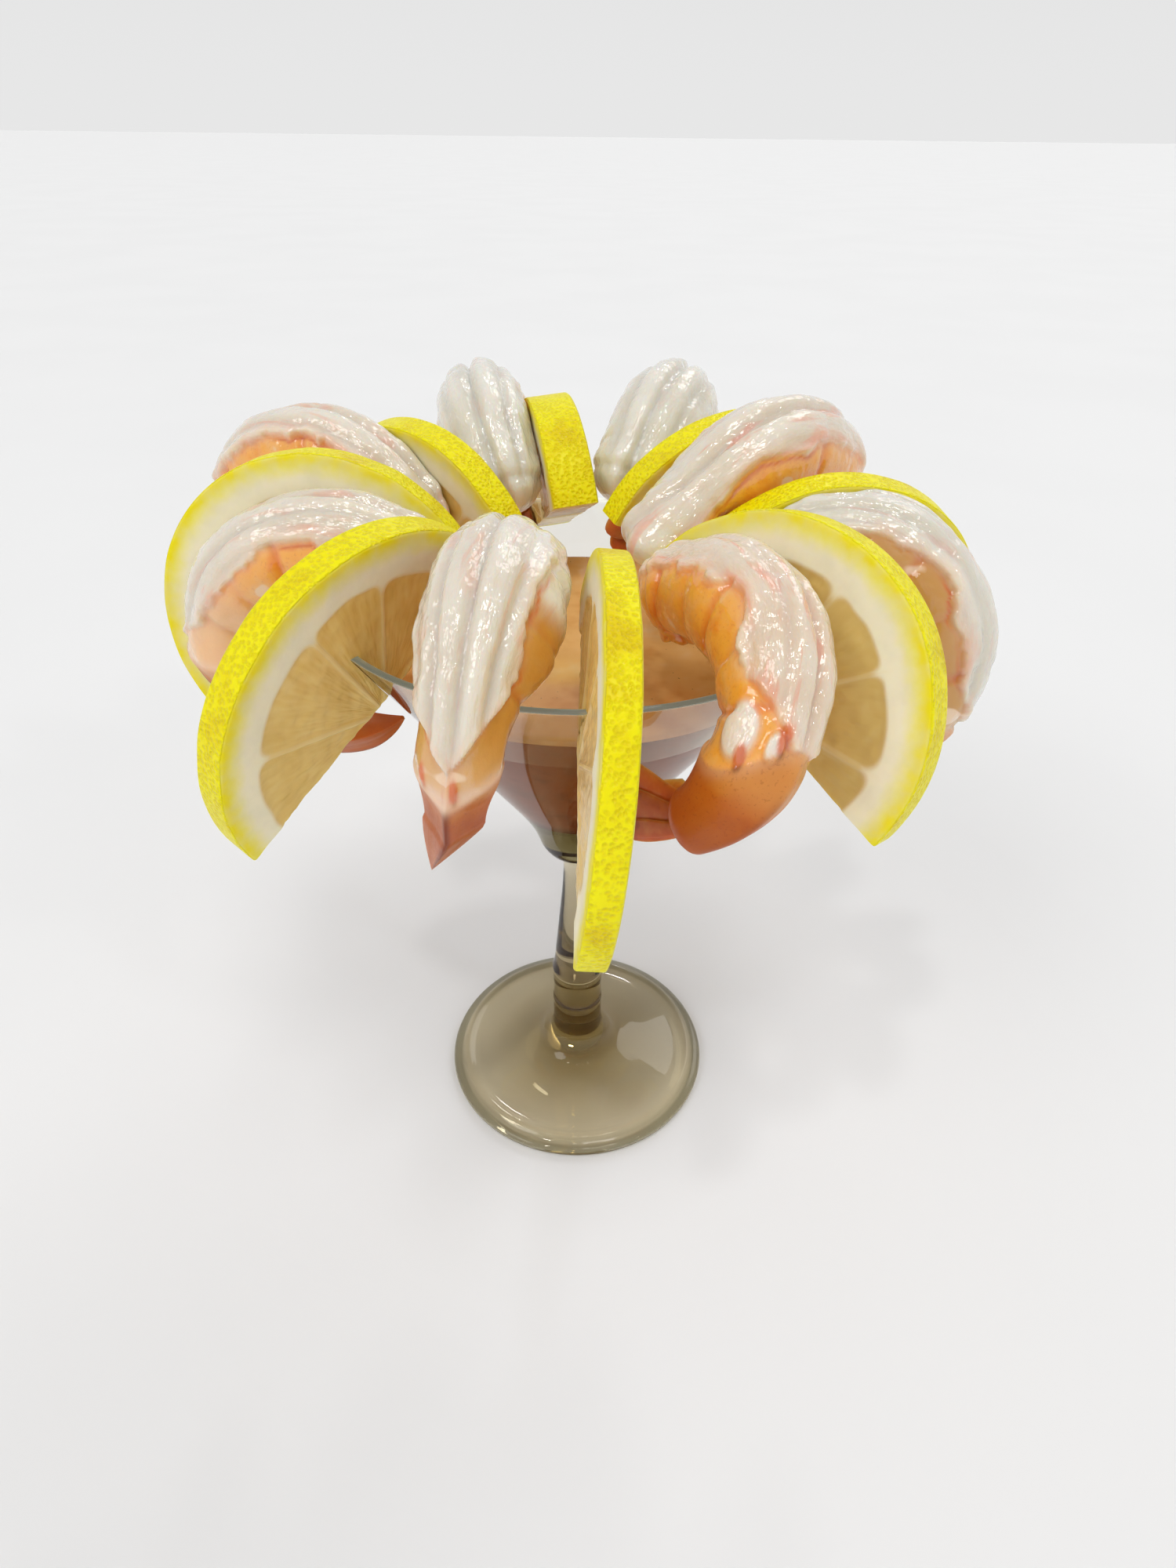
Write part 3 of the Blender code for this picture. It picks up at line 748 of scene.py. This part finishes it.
def pale_edge(row, along, side, seed):
    """How far round the body the pale back reaches, in radians: ruffled, and to a point at the tail."""
    point = row["shell"] - 0.03
    taper = np.clip((point - along) / row["vee"], 0, 1) ** (0.5 + 2.5 * row["vee"])
    ruffle = (0.20 * waves(along * 9, side * 7 + 0.5, seed)
              + 0.11 * waves(along * 24, side * 5 + 0.5, seed + 1)
              + 0.05 * waves(along * 60, side * 3 + 0.5, seed + 2))
    return math.radians(row["cap"][side]) * taper * (1 + ruffle)


def round_waves(along, angle, cells, seed):
    """Noise over the body, with that many cells down each side of it, that meets itself underneath."""
    return waves(along, angle * cells / math.pi + cells, seed, round(2 * cells))


def hem(angle, cells, at, seed):
    """Noise round the body at one place, with that many cells down each side."""
    return waves(angle * cells / math.pi + cells, at, seed, 2 * cells)


def sections(row, along, end, closed):
    """The body's depth and breadth in millimetres along it, closing at the nose and at the tail."""
    depth = blend_rows(BODY_DEPTH, np.clip(along, 0, 1)) * row["girth"]
    nose = np.clip((along - NOSE) / 0.11, 0, 1)
    depth = np.maximum(depth, 7.6 * row["girth"] * ease(0.3, 0.0, along))
    depth = depth * np.sqrt(1 - (1 - nose) ** 2.4 * 0.999)
    depth = depth * (1 + row["swell"] * ease(row["shell"] - 0.15, row["shell"] + 0.05, along))
    if closed:
        point = np.clip((along - 1.02) / (end - 1.02), 0, 1) ** row["blunt"]
        return depth * (1 - 0.94 * point), depth * BODY_BREADTH * (1 - 0.96 * point)
    open_end = np.sqrt(1 - (1 - np.clip((end - along) / 0.05, 0, 1)) ** 2 * 0.999)
    return depth * open_end, depth * BODY_BREADTH * open_end


def furrows(row, along, angle, pale, seed):
    """How deep the furrows of the back are in millimetres."""
    side, off, deep_at = (angle > 0).astype(float), np.abs(angle), 0.0
    for number, (at, deep, half) in enumerate(FURROWS):
        lane = side * 9 * (at > 0) + number * 3 + 0.5
        drift = (0.10 + 0.08 * number) * waves(along * 4.5, lane, seed + 20 + number)
        fade = pale * ease(0.0, 0.12, along) if at else ease(row["shell"] + 0.02, row["shell"] - 0.2, along)
        broken = 0.7 + 0.6 * waves(along * 6, side * 5 + number * 4 + 0.5, seed + 30 + number)
        deep_at = deep_at + deep * broken * hump((off if at else angle) - at - drift, half) * fade
    return deep_at


def creases(along, angle, length, seed):
    """Where the creases between the body's segments lie across the belly."""
    found = 0.0
    for number, joint in enumerate(SEGMENT_JOINTS):
        where = joint + 0.018 * np.sin(np.abs(angle) * 2 + number) + 0.008 * hem(angle, 4, number, seed + 10)
        found = found + hump((along - where) * length, 0.75) * (1.0 - 0.65 * (number % 2))
    return found


def ticks_and_pearls(row, along, angle):
    """Where a prawn's marks before the shell and its smooth white lobes lie."""
    tick = pearl = np.zeros(np.broadcast(along, angle).shape)
    for degrees in row["ticks"]:
        turn = math.radians(degrees)
        past = along - (row["shell"] - row["slant"] * math.cos(1.8 * turn) - 0.02)
        drift = 0.03 * np.sin(past * 40)
        tick = tick + hump(past * row["length"], 1.6) * hump(angle - turn - drift, 0.11)
    for at, degrees, reach in row["pearls"]:
        across = hump((angle - math.radians(degrees)) * 7, reach * 0.7)
        spot = hump((along - at) * row["length"], reach) * across
        pearl = np.maximum(pearl, ease(0.25, 0.6, spot))
    return tick, pearl


def body_grid(row, seed):
    """The body's points, as rows of rings in millimetres, with the masks that its material reads."""
    closed, length, shell_at = row["spread"] < CLOSED_TAIL, row["length"], row["shell"]
    end = 1 + row["fan"] / length if closed else OPEN_END
    along = np.linspace(NOSE, end, BODY_STATIONS)[:, None]
    angle = np.linspace(-math.pi, math.pi, BODY_SIDES, endpoint=False)[None, :]
    side, off = (angle > 0).astype(float), np.abs(angle)
    depth, breadth = sections(row, along, end, closed)

    edge = np.where(angle > 0, pale_edge(row, along, 1, seed), pale_edge(row, along, 0, seed + 9))
    pale = ease(0.055, -0.055, off - edge) * ease(shell_at + 0.01, shell_at - 0.03, along)
    slanted = along + row["slant"] * np.cos(1.8 * angle)
    shell = ease(shell_at - 0.006, shell_at + 0.006, slanted + 0.006 * hem(angle, 3, 0.5, seed + 3))
    belly, flesh = 1 - pale, 1 - shell
    strands = (0.20 * round_waves(along * 4 + 2 * np.sin(angle), angle, 5.5, seed + 6)
               + 0.12 * round_waves(along * 9, angle, 12, seed + 7)
               + 0.30 * round_waves(along * length / 4.0, angle, 8, seed + 18))
    grains = 0.09 * round_waves(along * length / 1.3, angle, 22, seed + 15)
    valleys = sum(hump(off - at, half * 1.6) for at, _, half in FURROWS)
    ridge = np.clip(0.5 + 0.5 * strands - 0.45 * valleys, 0, 1)
    crease = creases(along, angle, length, seed) * flesh
    tick, pearl = ticks_and_pearls(row, along, angle)

    # The relief in millimetres: of the back, the belly, the shell, and what lies across them.
    roll = 0.45 * hump(off - edge + 0.10, 0.10) * (0.6 + 0.5 * waves(along * 22, side * 4, seed + 4))
    lift = (0.75 * pale + roll - furrows(row, along, angle, pale, seed)) * flesh
    lift += (strands * pale + grains * (0.2 + 0.8 * pale)) * flesh - crease * (0.5 * belly + 0.18 * pale)
    joints = (0, *SEGMENT_JOINTS, 1)
    knobs = np.abs(np.sin(math.pi * np.interp(along, joints, range(len(joints)))))
    groove = 1.1 * hump(off - math.pi, 0.30) * ease(0.02, 0.12, along)
    lift += (0.40 * knobs * hump(off - 2.0, 0.55) - groove) * belly * flesh
    lift += 0.20 * round_waves(along * 11, angle, 9, seed + 11) * belly * flesh
    keel = (0.5 if closed else 0.7) * hump(off, 0.22) * ease(end + 0.02, end - 0.15, along)
    lift += (0.30 * hump(along - shell_at, 0.05) + keel - 0.15 * hump(off - 0.8, 0.35)) * shell
    lift += 0.4 * tick + 0.8 * pearl
    for at, degrees, reach, around, height in row["lobes"]:
        lift += height * hump((along - at) * length, reach) * hump(angle - math.radians(degrees), around)
    ragged = hem(angle, 5, 0.5, seed + 12) + 0.6 * hem(angle, 11, 0.5, seed + 13)
    lift += 0.9 * ragged * hump(along - 0.01, 0.05)
    lift *= np.clip(depth / 4.0, 0, 1)

    corners = (0.85 if closed else 0.0) * ease(shell_at - 0.02, shell_at + 0.08, along)
    square = 1 - corners + corners / (np.abs(np.cos(angle)) + np.abs(np.sin(angle)))
    back = (depth * square * (1 - 0.06 * ease(2.0, 3.0, off)) + lift) * np.cos(angle)
    beside = (breadth * square * (1 - 0.14 * ease(1.3, 2.6, off) * flesh) + lift) * np.sin(angle)
    points = curled(row, along, back, beside + 0.8 * waves(along * 2.5, 0.5, seed + 14))

    broken = ease(-0.1, 0.5, waves(along * 12, side * 8 + 0.5, seed + 16))
    drawn = hump(off - edge - 0.09, 0.035) * flesh * broken
    keel_line = hump(off, 0.11) * ease(shell_at + 0.01, shell_at + 0.05, along) * (1.0 if closed else 0.3)
    collar = hump(slanted - shell_at - 0.005, 0.020) * row["collar"] * np.clip(1 - 1.5 * tick, 0, 1)
    uneven = along + 0.04 * hem(angle, 3, 0.5, seed + 17)
    return points, dict(
        pale=np.maximum(pale, pearl), ridge=np.maximum(ridge, pearl), shell=shell,
        crease=np.clip(crease, 0, 1), along=along * length, around=angle * 8.0, under=ease(1.9, 2.9, off),
        collar=collar, edge=hump(off - edge + 0.05, 0.17) * flesh,
        line=np.clip(drawn + ease(0.15, 0.6, tick) + keel_line, 0, 1),
        fade=ease(row["fade"] - 0.10, row["fade"] + 0.12, uneven), tip=ease(shell_at, 1.0, along))


def leaf(row, turn, shift, length, width, seed):
    """One flat leaf of the tail fan, as rows of rings in millimetres, with its masks."""
    share = np.linspace(0, 1, LEAF_STATIONS)[:, None]
    angle = np.linspace(0, 2 * math.pi, LEAF_SIDES, endpoint=False)[None, :]
    rounded_end = np.sqrt(np.clip((1 - share) / 0.28, 0.002, 1))
    outline = np.maximum((0.45 + 0.55 * ease(0.0, 0.6, share)) * rounded_end, 0.03)
    flat, reach = width / 2 * outline * np.cos(angle), share * length
    thick = 0.60 * (1 - 0.6 * share) * np.clip(outline * 3, 0, 1)
    ridge = 0.35 * hump(flat, 0.35) * np.clip(np.sin(angle), 0, 1) * ease(1.0, 0.7, share)
    cup = 0.10 * flat ** 2 / (width / 2)
    level = thick * np.sin(angle) + ridge - cup + 0.12 * waves(share * 5, flat * 0.6 + 9, seed)
    sine, cosine = math.sin(math.radians(turn)), math.cos(math.radians(turn))
    across = reach * sine + flat * cosine
    place = LEAF_ROOT + (reach * cosine - flat * sine) / row["length"]
    level = level + shift - row["fold"] * (np.sqrt(across ** 2 + 1) - 1)
    points = curled(row, place, level, across * (1 - 0.35 * row["fold"]))
    return points, dict(shell=1.0, tip=1.0, along=60 + reach, around=flat, fan=ease(0.05, 0.35, share))


def close_grid(points, first):
    """Faces of a tube of rings, first on its sides and then at its ends, and the two end points."""
    rows, columns = points.shape[:2]
    middles = first + rows * columns
    column = np.arange(columns)
    after = (column + 1) % columns
    last = middles - columns
    head = np.stack([np.full(columns, middles), first + after, first + column], -1)
    tail = np.stack([np.full(columns, middles + 1), last + column, last + after], -1)
    ends = np.array([points[0].mean(0), points[-1].mean(0)])
    return grid_faces(rows, columns, True, first), np.concatenate([head, tail]), ends


def press_against(points, row):
    """Moves what would be inside a lemon slice out to its face, for points in the model's frame."""
    matrix = slice_matrix(row)
    local = placed(points, np.linalg.inv(matrix)) / MM
    side = 1.0 if np.median(local[:, 1]) > 0 else -1.0
    reach = row["thickness"] / 2 + CONTACT / MM
    inside = ease(row["radius"] + 2.0, row["radius"] - 0.5, np.hypot(local[:, 0], local[:, 2] + row["past"]))
    inside *= ease(-row["past"] - 2.5, -row["past"] - 0.2, local[:, 2])
    depth = reach - side * local[:, 1]
    near = depth + SOFT_START
    push = np.where(near > 0, (np.sqrt(near ** 2 + 0.6) + near) / 2 - SOFT_START, 0.0)
    local[:, 1] += side * np.maximum(push, 0) * inside
    return placed(local * MM, matrix)


def press_on_rim(points):
    """Lifts what would be inside the glass wall near the rim to just over it or just outside it."""
    radius, height = np.hypot(points[:, 0], points[:, 1]), points[:, 2]
    outside = (radius - bowl_radius(height)) / LEVEL_SHARE - CONTACT
    inside = (bowl_inside(height) - radius) / LEVEL_SHARE - CONTACT
    over = height - GLASS_TOP - CONTACT
    held = (outside < 0) & (inside < 0) & (over < 0)
    rise = held & (over > -RIM_LIFT)
    push = held & ~rise
    moved = points.copy()
    moved[rise, 2] = GLASS_TOP + CONTACT
    moved[push, :2] -= (outside * LEVEL_SHARE / radius)[push, None] * points[push, :2]
    return moved


def make_prawn(number, row, neighbours, surface):
    name, seed = f"prawn_with_tail_{number}", PRAWN_SEED + number * 31
    parts = [body_grid(row, seed)]
    if row["spread"] >= CLOSED_TAIL:
        half_angle = math.degrees(math.atan2(row["spread"], row["fan"]))
        for turn, shift, length, width in LEAVES:
            parts.append(leaf(row, turn * half_angle, shift, length * (row["fan"] + LEAF_UNDER_SHELL), width,
                              seed + 20 + int(turn * 10)))
    points, sides, caps, masks, count = [], [], [], {key: [] for key in MASKS}, 0
    for grid, given in parts:
        quads, triangles, ends = close_grid(grid, count)
        sides += quads.tolist()
        caps += triangles.tolist()
        points += [grid.reshape(-1, 3), ends]
        for key in MASKS:
            value = np.broadcast_to(given.get(key, 0.0), grid.shape[:2])
            masks[key] += [value.ravel(), value[(0, -1), 0]]
        count += grid[..., 0].size + len(ends)
    world = placed(np.concatenate(points) * MM, rim_matrix(row))
    for other in neighbours:
        world = press_against(world, other)
    mesh = smooth_mesh(name, press_on_rim(world), sides + caps)
    for key, values in masks.items():
        store(mesh, key, np.concatenate(values))
    for key in ("blush", "tan", "chill"):
        store(mesh, key, np.full(count, row[key]))
    made = link(name, mesh)
    mesh.materials.append(surface)
    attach(made, "root")
    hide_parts(f"prawn_{number}")
    return made


def prawn_material(settings):
    """Cooked prawn: pale ridged back with painted shade in its furrows and painted light on its crests,
    orange belly with creases, amber shell and a red-brown tail fan.
    """
    made, nodes = new_material("cooked_prawn")
    streaks_at = nodes.vector(nodes.times("along", 0.10), nodes.times("around", 0.42))
    streaks = nodes.noise(1.0, 3.0, 0.6, streaks_at, 0.6)
    dots = nodes.ramp(nodes.noise(2200.0, 1.0), 0.60, 0.72)
    spots = nodes.ramp(nodes.noise(170.0, 1.0), 0.68, 0.72)

    # Painted shade and light: the chilled white is greyer in the furrows and whiter on the crests.
    chill_with_painted_furrow_shade = nodes.mix(nodes.ramp("ridge", 0.1, 0.7), srgb(214, 214, 202), srgb(240, 240, 232))
    pink = nodes.times(nodes.ramp(streaks, 0.54, 0.68), "blush", nodes.ramp("ridge", 1.0, 0.85, 0.0, 0.85))
    pale = nodes.layers(settings.back_color,
                        (nodes.ramp(nodes.noise(130.0, 2.0), 0.30, 0.70), srgb(224, 204, 180)),
                        (nodes.ramp(nodes.noise(240.0, 3.0), 0.50, 0.75, 0.0, 0.40), srgb(230, 194, 164)),
                        # Painted shade in the furrows and painted light on the crests of the back.
                        (nodes.ramp("ridge", 0.5, 0.1, 0.0, 0.4), srgb(226, 200, 174)),
                        (nodes.ramp("ridge", 0.5, 0.9, 0.0, 0.7), srgb(242, 234, 224)),
                        (nodes.times("chill", 0.8), chill_with_painted_furrow_shade), (pink, srgb(234, 146, 114)))
    belly = nodes.mottle(settings.belly_color, srgb(240, 136, 16), srgb(250, 196, 124), 170.0, 0.7)
    belly = nodes.layers(belly, (nodes.times(dots, 0.25), srgb(204, 100, 36)), ("tan", srgb(198, 146, 66)),
                         (nodes.times("crease", 0.4), srgb(222, 100, 20)),
                         (nodes.times("under", 0.2), srgb(226, 150, 70)),
                         (nodes.times("fade", 0.8), srgb(240, 200, 156)),
                         (nodes.times(spots, 0.8), srgb(246, 220, 190)))
    shell = nodes.mottle(settings.shell_color, srgb(172, 80, 10), srgb(214, 140, 52), 90.0, 0.8)
    shell = nodes.layers(shell, (nodes.ramp("tip", 0.35, 0.0, 0.0, 0.55), srgb(226, 164, 88)),
                         (nodes.ramp("tip", 0.35, 1.0, 0.0, 0.5), srgb(170, 78, 20)),
                         (nodes.times(dots, 0.3), srgb(150, 66, 14)))
    fan = nodes.mottle(settings.fan_color, srgb(124, 44, 12), srgb(206, 116, 54), 190.0, 0.8)
    rosy = nodes.mix(nodes.ramp(streaks, 0.40, 0.60), srgb(246, 214, 184), srgb(240, 170, 136))
    rosiness = nodes.math("MULTIPLY_ADD", "blush", 0.45, 0.2)
    drawn = nodes.mix("shell", srgb(212, 92, 0), srgb(104, 36, 12))
    colour = nodes.layers(belly, ("pale", pale), (nodes.times("edge", rosiness), rosy), ("shell", shell),
                          (nodes.times("line", 0.85), drawn),
                          (nodes.times("collar", 0.85), srgb(244, 214, 190)), ("fan", fan))

    fibres_at = nodes.vector(nodes.times("along", 0.7), nodes.times("around", 1.5))
    fibres = nodes.noise(1.0, 2.0, 0.5, fibres_at, 0.3)
    fibres = nodes.math("MULTIPLY_ADD", nodes.noise(560.0, 2.0), 0.3, nodes.times(fibres, 0.7))
    grain = nodes.times(nodes.noise(1500.0, 2.0), nodes.math("SUBTRACT", 1.0, "shell"), 0.15)
    height = nodes.times(fibres, nodes.math("MULTIPLY_ADD", "pale", 0.9, 0.1))
    bump = nodes.bump(nodes.math("ADD", height, grain), 0.5, 0.6 * MM)
    nodes.surface({"Base Color": colour, "Roughness": nodes.ramp(fibres, 0.2, 0.8, 0.30, 0.45),
                   "Normal": bump, "Coat Normal": nodes.bump(nodes.noise(450.0, 1.5), 0.6, 0.8 * MM, bump),
                   "Coat Weight": nodes.mix("shell", (0.9, 0.9, 0.9), (0.1, 0.1, 0.1)),
                   "Coat Roughness": 0.05, "Coat IOR": 1.8, "Specular IOR Level": 0.25,
                   "Subsurface Weight": 0.6, "Subsurface Radius": (1.0, 0.6, 0.35),
                   "Subsurface Scale": 3.5 * MM})
    return made


# Stage

CAMERA_PLACE = (2.0 * MM, -159.6 * MM, 195.3 * MM)
CAMERA_TILT = 54.93
CAMERA_ROLL = 0.67
CAMERA_LENS = 21.6
NEAREST_SEEN = 0.01
FLOOR_LEVEL = -0.1 * MM
BOUNCES = 24

# The lamps: the direction they stand in, how wide they look in degrees, and their strength.
LAMPS = {
    "overhead": ((0.15, -0.25, 1.0), 20, 0.65),
    "sparkle": ((-0.25, -0.35, 1.0), 4, 0.25),
    "window_behind": ((0.08, 0.78, 0.62), 4, 0.14),
    "window_in_front": ((0.75, -0.6, 0.7), 4, 0.12),
    "front_left": ((-0.8, -0.6, 0.9), 26, 0.55),
    "back_right": ((0.6, 0.8, 0.9), 26, 0.35),
}


def add_sun(name, place, width, strength):
    lamp = bpy.data.lights.new(name, "SUN")
    lamp.angle = math.radians(width)
    lamp.energy = strength
    made = link(name, lamp)
    made.location = place
    made.rotation_euler = (-Vector(place)).to_track_quat("-Z", "Y").to_euler()


def add_floor(size, surface):
    mesh = bpy.data.meshes.new("floor")
    corners = [(x * size / 2, y * size / 2, 0) for x, y in ((-1, -1), (1, -1), (1, 1), (-1, 1))]
    mesh.from_pydata(corners, [], [(0, 1, 2, 3)])
    mesh.materials.append(surface)
    floor = link("floor", mesh)
    floor.location.z = FLOOR_LEVEL
    return floor


def add_camera():
    camera = link("camera", bpy.data.cameras.new("camera"))
    camera.data.lens = CAMERA_LENS
    camera.data.clip_start = NEAREST_SEEN
    camera.location = CAMERA_PLACE
    tilt = Matrix.Rotation(math.radians(CAMERA_TILT), 4, "X")
    camera.rotation_euler = (tilt @ Matrix.Rotation(math.radians(CAMERA_ROLL), 4, "Z")).to_euler()
    return camera


def floor_material(settings):
    made, nodes = new_material("pale_floor")
    shade = tuple(share * 0.985 for share in settings.floor_color[:3])
    uneven = nodes.mix(nodes.ramp(nodes.noise(6.0, 2.0), 0.3, 0.7), settings.floor_color, shade)
    nodes.surface({"Base Color": uneven, "Roughness": 0.75})
    return made


def sky(settings):
    """Even pale light, brightest low down like the floor, and darker overhead."""
    world = bpy.data.worlds.new("studio")
    world.use_nodes = True
    world.node_tree.nodes.clear()
    nodes = Nodes(world.node_tree)
    up = nodes.parts(nodes.add("ShaderNodeTexCoord").outputs["Generated"])[2]
    colour = nodes.mix(nodes.ramp(up, 0.0, 0.7), (0.80, 0.80, 0.80), (0.46, 0.46, 0.46))
    background = nodes.add("ShaderNodeBackground", {"Color": colour, "Strength": settings.sky_strength})
    nodes.add("ShaderNodeOutputWorld", {"Surface": background.outputs[0]})
    bpy.context.scene.world = world


# Settings, operators and panel

def tone(name, description, colour):
    """A colour setting with its place in the panel and its value to begin with."""
    return bpy.props.FloatVectorProperty(name=name, description=description, subtype="COLOR", size=4,
                                         default=(*colour, 1.0))


class CocktailGlassSettings(bpy.types.PropertyGroup):
    steps: bpy.props.IntProperty(name="Steps", default=144, min=24,
                                 description="Steps round the turned glass and sauce")
    tint: tone("Tint", "Colour that thick glass takes on", (0.69, 0.60, 0.33))
    depth_of_tint: bpy.props.FloatProperty(name="Depth of tint", default=185.0, min=0.0,
                                           description="How quickly thickness tints the glass")
    # A painted glow: faint light that the rim of the glass gives off itself.
    rim_color: tone("Rim", "Faint light that gathers at the rim", (0.13, 0.145, 0.11))


class CocktailSauceSettings(bpy.types.PropertyGroup):
    # The sauce's colour on its sides, darkened as painted shade, and on its top, lightened as painted light.
    shaded_side_color: tone("Body", "Colour against the glass", srgb(176, 96, 50))
    lit_top_color: tone("Surface", "Colour of the open surface", srgb(250, 200, 128))


class CocktailLemonSettings(bpy.types.PropertyGroup):
    skin_color: tone("Skin", "Colour of the skin", srgb(246, 234, 0))
    pith_color: tone("Pith", "Colour of the pith", srgb(246, 238, 206))
    flesh_color: tone("Flesh", "Colour of the flesh", srgb(238, 200, 112))


class CocktailPrawnSettings(bpy.types.PropertyGroup):
    back_color: tone("Back", "Colour of the pale back", srgb(231, 217, 198))
    belly_color: tone("Belly", "Colour of the belly", srgb(255, 178, 62))
    shell_color: tone("Shell", "Colour of the last piece of shell", srgb(196, 106, 26))
    fan_color: tone("Tail fan", "Colour of the tail fan", srgb(184, 88, 34))


class CocktailStageSettings(bpy.types.PropertyGroup):
    floor_size: bpy.props.FloatProperty(name="Floor size", description="Width of the floor", default=40.0,
                                        min=0.5, unit="LENGTH")
    floor_color: tone("Floor", "Colour of the floor", (0.86, 0.86, 0.86))
    sky_strength: bpy.props.FloatProperty(name="Sky strength", description="Brightness of the even light",
                                          default=1.0, min=0.0)


class COCKTAIL_OT_add_glass(bpy.types.Operator):
    """Add the clear stemmed glass"""
    bl_idname = "cocktail.add_glass"
    bl_label = "Glass"

    def execute(self, context):
        settings = context.scene.cocktail_glass
        made = turned("stemmed_glass", glass_outline(), settings.steps)
        made.data.materials.append(glass_material(settings))
        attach(made, "root")
        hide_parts("glass")
        return {"FINISHED"}


class COCKTAIL_OT_add_sauce(bpy.types.Operator):
    """Add the sauce that fills the glass"""
    bl_idname = "cocktail.add_sauce"
    bl_label = "Sauce"

    def execute(self, context):
        made = turned("sauce_in_glass", sauce_outline(), context.scene.cocktail_glass.steps)
        made.data.materials.append(sauce_material(context.scene.cocktail_sauce))
        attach(made, "root")
        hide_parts("cocktail_sauce")
        return {"FINISHED"}


class COCKTAIL_OT_add_lemon(bpy.types.Operator):
    """Add the lemon half-slices on the rim"""
    bl_idname = "cocktail.add_lemon"
    bl_label = "Lemon slices"

    def execute(self, context):
        surface = lemon_material(context.scene.cocktail_lemon)
        band = rim_band("rim_band", context.scene.cocktail_glass.steps)
        for index, row in enumerate(SLICES):
            made = make_slice(index + 1, row, band, surface)
            if len(made.data.polygons) < FACE_RAYS:
                raise RuntimeError(f"{made.name} came out with almost no faces")
        bpy.data.objects.remove(band, do_unlink=True)
        return {"FINISHED"}


class COCKTAIL_OT_add_prawns(bpy.types.Operator):
    """Add the peeled prawns hooked over the rim"""
    bl_idname = "cocktail.add_prawns"
    bl_label = "Prawns"

    def execute(self, context):
        surface = prawn_material(context.scene.cocktail_prawn)
        for index, row in enumerate(PRAWNS):
            neighbours = (SLICES[index], SLICES[(index + 1) % len(SLICES)])
            make_prawn(index + 1, row, neighbours, surface)
        return {"FINISHED"}


class COCKTAIL_OT_add_stage(bpy.types.Operator):
    """Add the floor, the lights and the camera"""
    bl_idname = "cocktail.add_stage"
    bl_label = "Stage"

    def execute(self, context):
        scene, settings = context.scene, context.scene.cocktail_stage
        add_floor(settings.floor_size, floor_material(settings))
        sky(settings)
        for name, (place, width, strength) in LAMPS.items():
            add_sun(name, place, width, strength)
        scene.camera = add_camera()
        scene.view_settings.view_transform = "Standard"
        scene.cycles.max_bounces = scene.cycles.transmission_bounces = scene.cycles.glossy_bounces = BOUNCES
        return {"FINISHED"}


class COCKTAIL_PT_panel(bpy.types.Panel):
    """The pieces of the prawn cocktail, in the order they are made"""
    bl_idname = "COCKTAIL_PT_panel"
    bl_label = "Prawn cocktail"
    bl_space_type = "VIEW_3D"
    bl_region_type = "UI"
    bl_category = "Cocktail"

    def draw(self, context):
        for operator in OPERATORS:
            self.layout.operator(operator.bl_idname)
        for name in SETTINGS:
            box = self.layout.box()
            group = getattr(context.scene, name)
            for prop in group.bl_rna.properties:
                if prop.identifier not in ("rna_type", "name"):
                    box.prop(group, prop.identifier)


OPERATORS = (COCKTAIL_OT_add_glass, COCKTAIL_OT_add_sauce, COCKTAIL_OT_add_lemon, COCKTAIL_OT_add_prawns,
             COCKTAIL_OT_add_stage)
SETTINGS = {"cocktail_glass": CocktailGlassSettings, "cocktail_sauce": CocktailSauceSettings,
            "cocktail_lemon": CocktailLemonSettings, "cocktail_prawn": CocktailPrawnSettings,
            "cocktail_stage": CocktailStageSettings}


def register():
    for kind in (*SETTINGS.values(), *OPERATORS, COCKTAIL_PT_panel):
        bpy.utils.register_class(kind)
    for name, kind in SETTINGS.items():
        setattr(bpy.types.Scene, name, bpy.props.PointerProperty(type=kind))


def unregister():
    for name in SETTINGS:
        delattr(bpy.types.Scene, name)
    for kind in reversed((*SETTINGS.values(), *OPERATORS, COCKTAIL_PT_panel)):
        bpy.utils.unregister_class(kind)


def main():
    register()
    build_mottle_group()
    build_pit_group()
    bpy.ops.cocktail.add_glass()
    bpy.ops.cocktail.add_sauce()
    bpy.ops.cocktail.add_lemon()
    bpy.ops.cocktail.add_prawns()
    bpy.ops.cocktail.add_stage()


if __name__ == "__main__":
    main()
